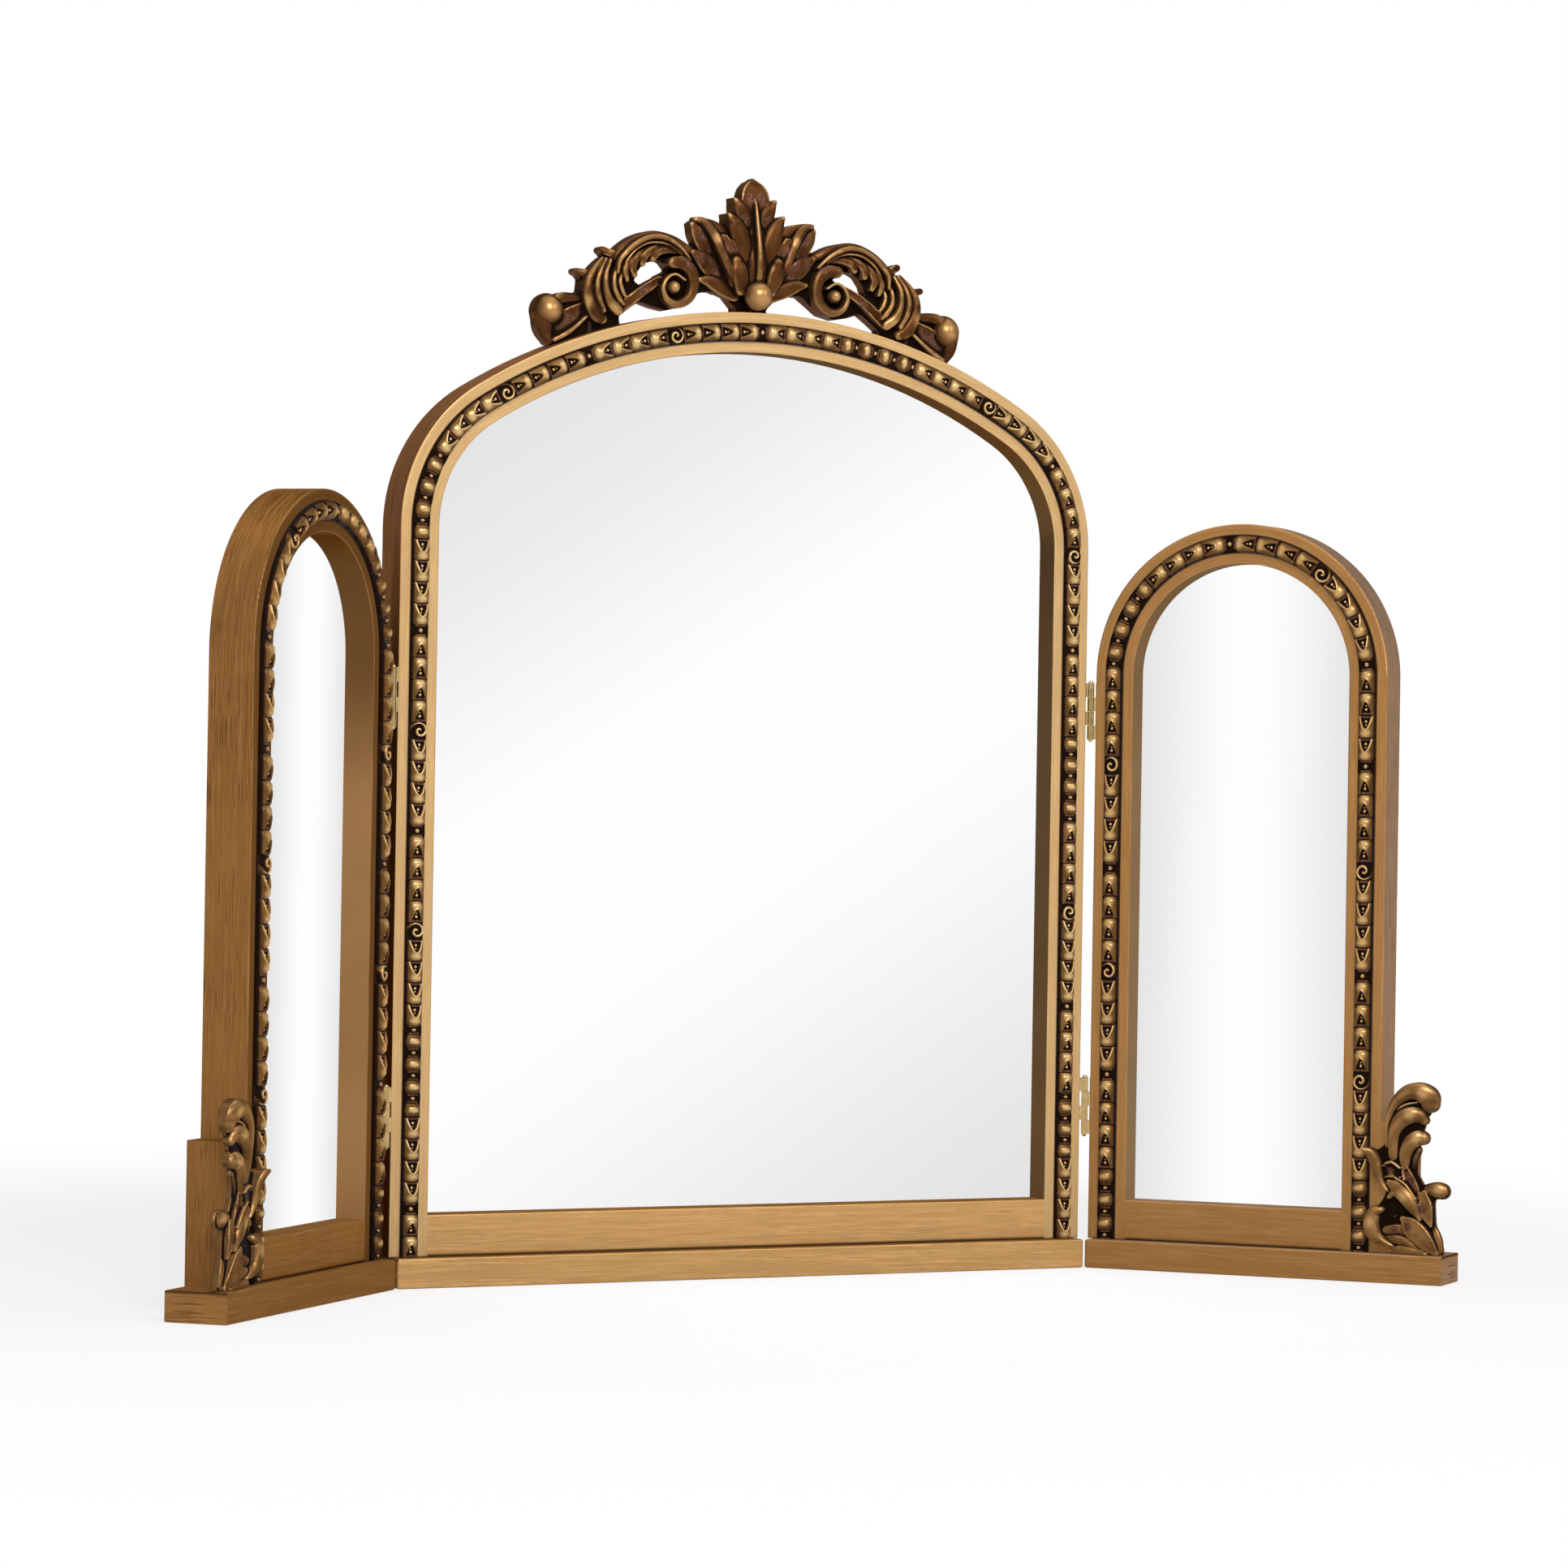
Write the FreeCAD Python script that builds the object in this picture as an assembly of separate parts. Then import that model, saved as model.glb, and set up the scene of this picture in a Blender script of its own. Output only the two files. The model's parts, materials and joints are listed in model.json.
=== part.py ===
import FreeCAD, Part
import math
import os
from FreeCAD import Vector

# A free-standing triple dressing table mirror: an arched centre panel and two arched wings on butt hinges.
# Millimetres and degrees. +X to the viewer's right, the mirrors face -Y, +Z up.
# The origin is the middle of the centre plinth's underside, on the table.

# Frames
CENTRE_WIDTH = 503.0
CENTRE_SPRING = 483.0
CENTRE_SHOULDER = 107.0
CENTRE_TOP = 630.5
WING_WIDTH = 204.0
WING_SPRING = 398.5
FRAME_FACE = 26.5
FRAME_DEPTH = 30.0
EDGE_EASE = 1.0

# Mirrors and their back boards
REVEAL = 20.0
GLASS = 4.0
GLASS_REBATE = 6.0
BOARD = FRAME_DEPTH - REVEAL - GLASS
BOARD_REBATE = 15.0
PANE_CLEARANCE = 0.5

# Applied bead moulding
BEAD_WIDTH = 12.0
BEAD_HEIGHT = 6.0

# Plinths
PLINTH_HEIGHT = 19.0
PLINTH_PROJECTION = 11.0
PLINTH_INSET = 1.65
PLINTH_END_EASE = 2.0
WING_PLINTH_END = 45.5

# Side blocks beside the wings' outer stiles
BLOCK_WIDTH = 19.5
BLOCK_HEIGHT = 87.0

# Hinges
HINGE_LENGTH = 38.0
HINGE_LOW = 108.0
HINGE_HIGH = 374.0
HINGE_GAP = 7.0
BARREL_RADIUS = 2.3
PIN_RADIUS = 1.25
PIN_CLEARANCE = 0.05
PIN_TIP_RADIUS = 1.7
KNUCKLES = 4
KNUCKLE_GAP = 0.2
LEAF_THICKNESS = 1.2
LEAF_WIDTH = 13.0
LEAF_RELIEF = 0.7
LEFT_ANGLE = 43.5
RIGHT_ANGLE = 49.5

# Screws: length, shank radius, head radius
HINGE_SCREW = (10.0, 1.3, 2.5)
BOARD_SCREW = (16.0, 1.4, 2.8)
PLINTH_SCREW = (40.0, 2.1, 4.0)
SCREW_SINK = 0.5
RECESS_WIDTH = 0.7
RECESS_REACH = 0.6
RECESS_DEPTH = 0.75
HINGE_SCREW_SPREAD = 22.0
HINGE_SCREW_SETBACK = 7.5
PLINTH_SCREW_DEPTH = 15.0
RAIL_SCREW_SPREAD = 160.0
CENTRE_BOARD_SHARES = (0.2, 0.5, 0.8)
WING_BOARD_SHARES = (0.25, 0.75)

# Dowels in the frames' joints
DOWEL_RADIUS = 3.0
DOWEL_LENGTH = 30.0
DOWEL_SPREAD = 12.0
RAIL_DOWEL_DEPTH = 7.0
HEAD_DOWEL_DEPTHS = (6.0, 15.0)

# Crest on the centre arch. Its heights are above the top of the arch
CREST_FRONT = 7.0
CREST_BACK = 23.0
LEAF_FRONT = 3.0
VOLUTE_CENTRE = (59.0, 13.5)
VOLUTE_RADIUS = 15.5
VOLUTE_FRONT = 3.0
VOLUTE_EYE = 5.0
KNOB_HEIGHT = 12.5
KNOB_RADIUS = 9.5
KNOB_DEPTH = 4.0
BULB_CENTRE = (145.5, 16.0, -4.5)
BULB_RADIUS = 11.0
CREST_PIN_RADIUS = 2.0
CREST_PIN_LENGTH = 22.0
CREST_PIN_SPREAD = 116.0

# Right half of the crest's outline, from the tip down to the arch, as curves between its notches
CREST_OUTLINE = [
    [(0, 90), (6, 86.5), (9.5, 80.5), (10.5, 74)],
    [(10.5, 74), (15.5, 75.5), (16.5, 71.5), (15, 65)],
    [(15, 65), (20.5, 64), (21.5, 60.5), (20, 54.5)],
    [(20, 54.5), (30, 59.5), (42, 61), (45, 55.5), (41.5, 43.5)],
    [(41.5, 43.5), (58, 47), (76, 48.5), (90, 45), (102, 37.5)],
    [(102, 37.5), (108.5, 38), (111, 34.5), (107.5, 30)],
    [(107.5, 30), (113, 27), (119, 23)],
    [(119, 23), (126, 24), (129, 21), (124, 16.5)],
    [(124, 16.5), (125, 10.5), (132, 5.5)],
    [(132, 5.5), (145, 4.5), (152, -1.5), (152, -12.5), (146, -22.5)],
]
CREST_UNDERSIDE = [
    [(94, -7.5), (88, -2.5), (81, 2.5), (72, -0.5), (62, -2.3), (51, 0.5), (43, 6.5), (36, 11.5)],
    [(36, 11.5), (28, 12), (19, 9), (12, 2.5)],
]
CREST_HOLE = [(67, 24.5), (72, 30.5), (79, 31.5), (86, 25.5), (86, 19), (80, 15.5), (73, 18)]
# Right half of the tall middle leaf's raised face
LEAF_OUTLINE = [(0, 85.5), (7, 75.5), (12, 59.5), (14, 43.5), (11, 24.5), (0, 9.5)]

# A wing's corner ornament: out from the frame's outer edge, up from the plinth
ORNAMENT_OUTLINE = [
    [(46, 0), (45, 8), (41, 19), (40, 30), (39.5, 36)],
    [(39.5, 36), (45, 37.5), (48, 42), (46, 47.5), (40, 49), (33, 45)],
    [(33, 45), (28, 54), (25.5, 62), (29, 71)],
    [(29, 71), (33.5, 74.5), (33.5, 80), (28, 84)],
    [(28, 84), (32.5, 87.5), (35, 93)],
    [(35, 93), (41, 97), (42, 103), (38, 110), (29, 113.5), (17, 110), (8, 102), (4, 90), (4, 76)],
    [(4, 76), (1, 71), (-6.5, 69)],
    [(-6.5, 69), (-3, 60), (1, 48), (4, 41)],
    [(4, 41), (-2, 31), (-6.5, 24), (-6, 14), (-1, 8), (6, 5), (11, 0)],
]
ORNAMENT_SETBACK = 0.5
BRAD_RADIUS = 0.8
BRAD_LENGTH = 18.0
BRAD_POINTS = [(10.0, 60.0), (12.0, 25.0)]

# Worked out from the sizes above
PLINTH_DEPTH = FRAME_DEPTH + PLINTH_PROJECTION
FRONT_Y = PLINTH_PROJECTION - PLINTH_DEPTH / 2
SIGHT_BOTTOM = PLINTH_HEIGHT + FRAME_FACE
BEAD_INSET = FRAME_FACE / 2
BOARD_SCREW_INSET = FRAME_FACE - (GLASS_REBATE + BOARD_REBATE) / 2
BARREL_BORE = PIN_RADIUS + PIN_CLEARANCE
HINGE_HEIGHTS = {"upper": HINGE_HIGH, "lower": HINGE_LOW}

UP = Vector(0, 0, 1)
BACK = Vector(0, 1, 0)
RIGHT = Vector(1, 0, 0)


def box(x0, x1, y0, y1, z0, z1):
    return Part.makeBox(x1 - x0, y1 - y0, z1 - z0, Vector(x0, y0, z0))


def mirrored(shape):
    return shape.mirror(Vector(0, 0, 0), RIGHT)


def curves_wire(curves):
    """A closed wire in the XZ plane: smooth curves between corners, and a straight line to close it."""
    edges = []
    for points in curves:
        knots = [Vector(x, 0, z) for x, z in points]
        if len(knots) == 2:
            edges.append(Part.makeLine(*knots))
            continue
        curve = Part.BSplineCurve()
        curve.interpolate(knots)
        edges.append(curve.toShape())
    start = Vector(curves[0][0][0], 0, curves[0][0][1])
    end = Vector(curves[-1][-1][0], 0, curves[-1][-1][1])
    if start.distanceToPoint(end) > 1e-6:
        edges.append(Part.makeLine(end, start))
    return Part.Wire(edges)


def slab(wire, y0, y1):
    """A flat piece with that outline, between two depths."""
    shape = Part.Face(wire).extrude(Vector(0, y1 - y0, 0))
    shape.translate(Vector(0, y0, 0))
    return shape


class Panel:
    """One arched panel, seen from the front, about its own middle. Depth 0 is the frame's front face."""

    def __init__(self, width, spring, shoulder, top):
        self.half = width / 2
        self.spring = spring
        self.shoulder = shoulder
        self.top = top
        self.offset = self.half - shoulder
        rise = top - spring
        self.crown = 0.0
        self.turn = 0.0
        if self.offset > 0:
            self.crown = (self.offset ** 2 + rise ** 2 - shoulder ** 2) / (2 * (rise - shoulder))
            self.turn = math.degrees(math.atan2(self.offset, self.spring - self.crown_height()))

    def crown_height(self):
        return self.top - self.crown

    def arch_point(self, angle, inset):
        """A point on the arch, by its angle from the upright, positive to the right."""
        side = math.copysign(1, angle)
        lean = math.radians(abs(angle))
        if abs(angle) < self.turn:
            radius = self.crown - inset
            return Vector(side * radius * math.sin(lean), 0, self.crown_height() + radius * math.cos(lean))
        radius = self.shoulder - inset
        x = self.offset + radius * math.sin(lean)
        return Vector(side * x, 0, self.spring + radius * math.cos(lean))

    def outline(self, inset, bottom):
        """The panel's outline, drawn in by an inset, down to a height."""
        stops = [-90.0, 90.0]
        if self.turn > 0:
            stops = [-90.0, -self.turn, self.turn, 90.0]
        half = self.half - inset
        edges = [Part.makeLine(Vector(-half, 0, bottom), Vector(-half, 0, self.spring))]
        for a, b in zip(stops, stops[1:]):
            points = [self.arch_point(angle, inset) for angle in (a, (a + b) / 2, b)]
            edges.append(Part.Arc(*points).toShape())
        edges.append(Part.makeLine(Vector(half, 0, self.spring), Vector(half, 0, bottom)))
        edges.append(Part.makeLine(Vector(half, 0, bottom), Vector(-half, 0, bottom)))
        return Part.Wire(edges)

    def slab(self, inset, bottom, y0, y1):
        return slab(self.outline(inset, bottom), y0, y1)


CENTRE = Panel(CENTRE_WIDTH, CENTRE_SPRING, CENTRE_SHOULDER, CENTRE_TOP)
WING = Panel(WING_WIDTH, WING_SPRING, WING_WIDTH / 2, WING_SPRING + WING_WIDTH / 2)


def frame_ring(panel):
    """The whole frame: eased front edges, and a stepped rebate in its back for the glass and the board."""
    ring = panel.slab(0, PLINTH_HEIGHT, 0, FRAME_DEPTH)
    ring = ring.cut(panel.slab(FRAME_FACE, SIGHT_BOTTOM, 0, FRAME_DEPTH))
    front = [e for e in ring.Edges if abs(e.BoundBox.YMax) < 1e-6]
    ring = ring.makeFillet(EDGE_EASE, front)
    for rebate, depth in ((GLASS_REBATE, REVEAL), (BOARD_REBATE, REVEAL + GLASS)):
        ring = ring.cut(panel.slab(FRAME_FACE - rebate, SIGHT_BOTTOM - rebate, depth, FRAME_DEPTH))
    return ring


def frame_members(panel):
    """The frame as it is jointed: two stiles, a bottom rail between them and an arched head."""
    ring = frame_ring(panel)
    half = panel.half
    reach = (-FRAME_DEPTH, 2 * FRAME_DEPTH)
    right = ring.common(box(half - FRAME_FACE, half, *reach, PLINTH_HEIGHT, panel.spring))
    left = ring.common(box(-half, FRAME_FACE - half, *reach, PLINTH_HEIGHT, panel.spring))
    rail = ring.common(box(FRAME_FACE - half, half - FRAME_FACE, *reach, PLINTH_HEIGHT, SIGHT_BOTTOM))
    head = ring.common(box(-half, half, *reach, panel.spring, 2 * panel.top))
    return {"left_stile": left, "right_stile": right, "bottom_rail": rail, "arched_head": head}


def bead_moulding(panel):
    """A half-round strip along the middle of both stiles and the arch."""
    run = panel.half - BEAD_INSET
    ends = [Vector(-BEAD_WIDTH / 2, 0, 0), Vector(0, -BEAD_HEIGHT, 0), Vector(BEAD_WIDTH / 2, 0, 0)]
    section = Part.Face(Part.Wire([Part.Arc(*ends).toShape(), Part.makeLine(ends[2], ends[0])]))

    def section_at(distance):
        face = section.copy()
        face.translate(Vector(distance, 0, 0))
        return face

    stile = section_at(run).extrude(UP * (panel.spring - PLINTH_HEIGHT))
    stile.translate(UP * PLINTH_HEIGHT)
    bend = section_at(panel.shoulder - BEAD_INSET).revolve(Vector(0, 0, 0), -BACK, 90 - panel.turn)
    bend.translate(Vector(panel.offset, 0, panel.spring))
    pieces = [stile, bend, mirrored(stile), mirrored(bend)]
    if panel.turn > 0:
        start = section_at(panel.crown - BEAD_INSET)
        start.rotate(Vector(0, 0, 0), -BACK, 90 - panel.turn)
        crown = start.revolve(Vector(0, 0, 0), -BACK, 2 * panel.turn)
        crown.translate(UP * panel.crown_height())
        pieces.append(crown)
    return pieces[0].fuse(pieces[1:]).removeSplitter()


def pane(panel):
    """The silvered glass, standing in the bottom of its rebate."""
    inset = FRAME_FACE - GLASS_REBATE + PANE_CLEARANCE
    return panel.slab(inset, SIGHT_BOTTOM - GLASS_REBATE, REVEAL, REVEAL + GLASS)


def back_board(panel):
    """The board behind the glass, flush with the frame's back."""
    inset = FRAME_FACE - BOARD_REBATE + PANE_CLEARANCE
    return panel.slab(inset, SIGHT_BOTTOM - BOARD_REBATE, REVEAL + GLASS, REVEAL + GLASS + BOARD)


def screw_blank(size, at, pointing, sink=0.0):
    """A countersunk screw's outer shape, its head at a point, with room above the head if it is sunk."""
    length, radius, head = size
    cone = head - radius
    shape = Part.makeCone(head, radius, cone)
    shape = shape.fuse(Part.makeCylinder(radius, length - cone - radius, UP * cone))
    shape = shape.fuse(Part.makeCone(radius, 0, radius, UP * (length - radius)))
    if sink > 0:
        shape = shape.fuse(Part.makeCylinder(head, sink, UP * -sink))
    shape = shape.removeSplitter()
    shape.Placement = FreeCAD.Placement(at, FreeCAD.Rotation(UP, pointing))
    return shape


def screw(size, at, pointing):
    """A countersunk wood screw with a cross recess in its head."""
    length, radius, head = size
    arm = RECESS_REACH * head
    depth = RECESS_DEPTH * (head - radius)
    cross = box(-arm, arm, -RECESS_WIDTH / 2, RECESS_WIDTH / 2, 0, depth)
    cross = cross.fuse(box(-RECESS_WIDTH / 2, RECESS_WIDTH / 2, -arm, arm, 0, depth))
    cross.Placement = FreeCAD.Placement(at, FreeCAD.Rotation(UP, pointing))
    return screw_blank(size, at, pointing).cut(cross)


class Screws:
    """A set of equal screws, and the holes that they fill."""

    def __init__(self, size, places, pointing, sink=0.0):
        self.solids = [screw(size, place, pointing) for place in places]
        self.holes = [screw_blank(size, place, pointing, sink) for place in places]

    def group(self):
        return Part.makeCompound(self.solids)


def board_screws(panel, stile_shares, arch_angles, bottom_places):
    """Screws through the board into the rebate's step: up the stiles, round the arch, along the bottom."""
    x = panel.half - BOARD_SCREW_INSET
    heights = [PLINTH_HEIGHT + share * (panel.spring - PLINTH_HEIGHT) for share in stile_shares]
    places = [Vector(side * x, 0, z) for z in heights for side in (-1, 1)]
    places += [panel.arch_point(angle, BOARD_SCREW_INSET) for angle in arch_angles]
    places += [Vector(place, 0, PLINTH_HEIGHT + BOARD_SCREW_INSET) for place in bottom_places]
    return Screws(BOARD_SCREW, [place + BACK * FRAME_DEPTH for place in places], -BACK)


def plinth_screws(places):
    """Screws up through the plinth, their heads sunk below its underside."""
    return Screws(PLINTH_SCREW, [Vector(x, PLINTH_SCREW_DEPTH, SCREW_SINK) for x in places], UP, SCREW_SINK)


def dowels(panel):
    """Dowels between the stiles and the rail, and between the stiles and the head."""
    pegs = []
    for side in (-1, 1):
        joint = side * (panel.half - FRAME_FACE)
        for dz in (-DOWEL_SPREAD / 2, DOWEL_SPREAD / 2):
            start = Vector(joint - DOWEL_LENGTH / 2, RAIL_DOWEL_DEPTH, PLINTH_HEIGHT + FRAME_FACE / 2 + dz)
            pegs.append(Part.makeCylinder(DOWEL_RADIUS, DOWEL_LENGTH, start, RIGHT))
        for depth in HEAD_DOWEL_DEPTHS:
            start = Vector(side * (panel.half - BEAD_INSET), depth, panel.spring - DOWEL_LENGTH / 2)
            pegs.append(Part.makeCylinder(DOWEL_RADIUS, DOWEL_LENGTH, start, UP))
    return pegs


def plinth(x0, x1, eased_ends):
    """A flat board, rounder at the ends that meet another plinth."""
    board = box(x0, x1, -PLINTH_PROJECTION, FRAME_DEPTH, 0, PLINTH_HEIGHT)

    def at_end(edge):
        return any(abs(edge.BoundBox.XMin - x) + abs(edge.BoundBox.XMax - x) < 1e-6 for x in eased_ends)

    board = board.makeFillet(PLINTH_END_EASE, [e for e in board.Edges if at_end(e)])
    long_edges = [e for e in board.Edges if e.BoundBox.XLength > (x1 - x0) / 2]
    return board.makeFillet(EDGE_EASE, long_edges)


def side_block():
    """The block that stands on the wing's plinth against the outer stile."""
    x0 = WING.half
    block = box(x0, x0 + BLOCK_WIDTH, 0, FRAME_DEPTH, PLINTH_HEIGHT, PLINTH_HEIGHT + BLOCK_HEIGHT)
    outer = [e for e in block.Edges if abs(e.BoundBox.XMin - x0 - BLOCK_WIDTH) < 1e-6]
    return block.makeFillet(EDGE_EASE, [e for e in outer if e.BoundBox.ZMax > PLINTH_HEIGHT + EDGE_EASE])


def corner_ornament():
    """The carved leaf on the plinth's ledge, in front of the side block."""
    shape = slab(curves_wire(ORNAMENT_OUTLINE), ORNAMENT_SETBACK - PLINTH_PROJECTION, 0)
    shape.translate(Vector(WING.half, 0, PLINTH_HEIGHT))
    return shape


def brads():
    """Headless nails through the ornament into the side block."""
    start = -BRAD_LENGTH / 3
    heads = [Vector(WING.half + x, start, PLINTH_HEIGHT + z) for x, z in BRAD_POINTS]
    return [Part.makeCylinder(BRAD_RADIUS, BRAD_LENGTH, head, BACK) for head in heads]


def crest():
    """The openwork crest: scrolls and leaves either side of a tall leaf, standing on the arch."""
    sunk = CENTRE.spring - CENTRE.top
    half = CREST_OUTLINE + [
        [CREST_OUTLINE[-1][-1], (CREST_OUTLINE[-1][-1][0], sunk)],
        [(CREST_OUTLINE[-1][-1][0], sunk), (CREST_UNDERSIDE[0][0][0], sunk)],
        [(CREST_UNDERSIDE[0][0][0], sunk), CREST_UNDERSIDE[0][0]],
    ] + CREST_UNDERSIDE + [
        [CREST_UNDERSIDE[-1][-1], (CREST_UNDERSIDE[-1][-1][0], sunk)],
        [(CREST_UNDERSIDE[-1][-1][0], sunk), (0, sunk)],
    ]
    plate = slab(curves_wire(half), CREST_FRONT, CREST_BACK)
    hole = slab(curves_wire([CREST_HOLE + CREST_HOLE[:1]]), CREST_FRONT, CREST_BACK)
    plate = plate.cut(hole)
    x, z = VOLUTE_CENTRE
    volute = Part.makeCylinder(VOLUTE_RADIUS, CREST_BACK - VOLUTE_FRONT, Vector(x, VOLUTE_FRONT, z), BACK)
    eye = Part.makeSphere(VOLUTE_EYE, Vector(x, VOLUTE_FRONT, z))
    bulb = Part.makeSphere(BULB_RADIUS, Vector(*BULB_CENTRE))
    right = plate.fuse([volute, eye, bulb])
    leaf = slab(curves_wire([LEAF_OUTLINE]), LEAF_FRONT, CREST_BACK)
    knob = Part.makeSphere(KNOB_RADIUS, Vector(0, KNOB_DEPTH, KNOB_HEIGHT))
    whole = right.fuse([mirrored(right), leaf, mirrored(leaf), knob])
    whole.translate(UP * CENTRE.top)
    return whole.cut(CENTRE.slab(0, PLINTH_HEIGHT, -FRAME_DEPTH, 2 * FRAME_DEPTH))


def crest_pins():
    """Pins that stand the crest on the arch."""
    middle = (CREST_FRONT + CREST_BACK) / 2
    pins = []
    for x in (-CREST_PIN_SPREAD, 0, CREST_PIN_SPREAD):
        top = CENTRE.crown_height() + math.sqrt(CENTRE.crown ** 2 - x ** 2)
        foot = Vector(x, middle, top - CREST_PIN_LENGTH / 2)
        pins.append(Part.makeCylinder(CREST_PIN_RADIUS, CREST_PIN_LENGTH, foot))
    return pins


def knuckle_spans():
    """The knuckles' heights from the top down, about the hinge's middle."""
    pitch = HINGE_LENGTH / KNUCKLES
    tops = [HINGE_LENGTH / 2 - i * pitch for i in range(KNUCKLES)]
    return [(top - pitch + KNUCKLE_GAP / 2, top - KNUCKLE_GAP / 2) for top in tops]


def hinge_leaf(own, other):
    """A butt hinge's leaf on the -X side of its pin, with its own knuckles and room for the others."""
    face = -HINGE_GAP / 2
    leaf = box(face, face + LEAF_THICKNESS, 0, LEAF_WIDTH, -HINGE_LENGTH / 2, HINGE_LENGTH / 2)
    clear = BARREL_RADIUS + LEAF_RELIEF
    for low, high in other:
        leaf = leaf.cut(box(face, 0, -clear, clear, low - KNUCKLE_GAP, high + KNUCKLE_GAP))
    for low, high in own:
        barrel = Part.makeCylinder(BARREL_RADIUS, high - low, UP * low)
        root = box(face, 0, 0, BARREL_RADIUS, low, high)
        leaf = leaf.fuse([barrel, root])
    return leaf.cut(Part.makeCylinder(BARREL_BORE, 2 * HINGE_LENGTH, UP * -HINGE_LENGTH)).removeSplitter()


def hinge_pin():
    """The pin, with a domed tip above and below the barrel."""
    half = HINGE_LENGTH / 2
    pin = Part.makeCylinder(PIN_RADIUS, HINGE_LENGTH, UP * -half)
    domes = [Part.makeSphere(PIN_TIP_RADIUS, way * half, way, 0, 90, 360) for way in (UP, -UP)]
    return pin.fuse(domes).removeSplitter()


def hinge_screws(side, axis_x):
    """Screws through the leaves on one side of the pins, into the frame's edge, at both hinges' heights."""
    x = axis_x + side * (HINGE_GAP / 2 - LEAF_THICKNESS)
    spread = (-HINGE_SCREW_SPREAD / 2, HINGE_SCREW_SPREAD / 2)
    heights = [z + dz for z in HINGE_HEIGHTS.values() for dz in spread]
    return Screws(HINGE_SCREW, [Vector(x, HINGE_SCREW_SETBACK, z) for z in heights], RIGHT * side)


def cut_all(shape, tools):
    return shape.cut(Part.makeCompound(tools))


def moved(shape, x, y, z):
    copy = shape.copy()
    copy.translate(Vector(x, y, z))
    return copy


def centre_panel(axis_x):
    """Every piece of the centre panel but its hinges, about its own middle."""
    half = CENTRE.half
    nodes = frame_members(CENTRE)
    stile_x = half - BEAD_INSET
    screws_up = plinth_screws([-stile_x, -RAIL_SCREW_SPREAD / 2, RAIL_SCREW_SPREAD / 2, stile_x])
    screws_in = board_screws(CENTRE, CENTRE_BOARD_SHARES, (-45.0, 0.0, 45.0), (-half / 3, half / 3))
    hinge_right = hinge_screws(-1, axis_x)
    hinge_left = hinge_screws(1, -axis_x)
    pegs = dowels(CENTRE)
    pins = crest_pins()
    fixings = screws_up.holes + screws_in.holes + hinge_right.holes + hinge_left.holes + pegs + pins
    for name in ("left_stile", "right_stile", "bottom_rail", "arched_head"):
        nodes[name] = cut_all(nodes[name], fixings)
    ends = (PLINTH_INSET - half, half - PLINTH_INSET)
    nodes["plinth"] = cut_all(plinth(*ends, ends), screws_up.holes)
    nodes["mirror"] = pane(CENTRE)
    nodes["back_board"] = cut_all(back_board(CENTRE), screws_in.holes)
    nodes["bead_moulding"] = bead_moulding(CENTRE)
    nodes["crest"] = cut_all(crest(), pins)
    nodes["crest_pins"] = Part.makeCompound(pins)
    nodes["frame_dowels"] = Part.makeCompound(pegs)
    nodes["plinth_screws"] = screws_up.group()
    nodes["back_board_screws"] = screws_in.group()
    nodes["hinge_screws"] = Part.makeCompound(hinge_right.solids + hinge_left.solids)
    return nodes


def wing_panel(axis_x):
    """Every piece of the right wing, about its own middle. Its outer side is on the right."""
    half = WING.half
    nodes = frame_members(WING)
    stile_x = half - BEAD_INSET
    screws_up = plinth_screws([-stile_x, 0, stile_x, half + BLOCK_WIDTH / 2])
    screws_in = board_screws(WING, WING_BOARD_SHARES, (0.0,), (-half / 3, half / 3))
    hinges = hinge_screws(1, axis_x)
    pegs = dowels(WING)
    nails = brads()
    for name in ("left_stile", "right_stile", "bottom_rail", "arched_head"):
        nodes[name] = cut_all(nodes[name], screws_up.holes + screws_in.holes + hinges.holes + pegs)
    nodes["inner_stile"] = nodes.pop("left_stile")
    nodes["outer_stile"] = nodes.pop("right_stile")
    inner_end = PLINTH_INSET - half
    nodes["plinth"] = cut_all(plinth(inner_end, half + WING_PLINTH_END, (inner_end,)), screws_up.holes)
    nodes["mirror"] = pane(WING)
    nodes["back_board"] = cut_all(back_board(WING), screws_in.holes)
    nodes["bead_moulding"] = bead_moulding(WING)
    nodes["side_block"] = cut_all(side_block(), screws_up.holes + nails)
    nodes["corner_ornament"] = cut_all(corner_ornament(), nails)
    nodes["ornament_brads"] = Part.makeCompound(nails)
    nodes["frame_dowels"] = Part.makeCompound(pegs)
    nodes["plinth_screws"] = screws_up.group()
    nodes["back_board_screws"] = screws_in.group()
    nodes["hinge_screws"] = hinges.group()
    return nodes


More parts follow.
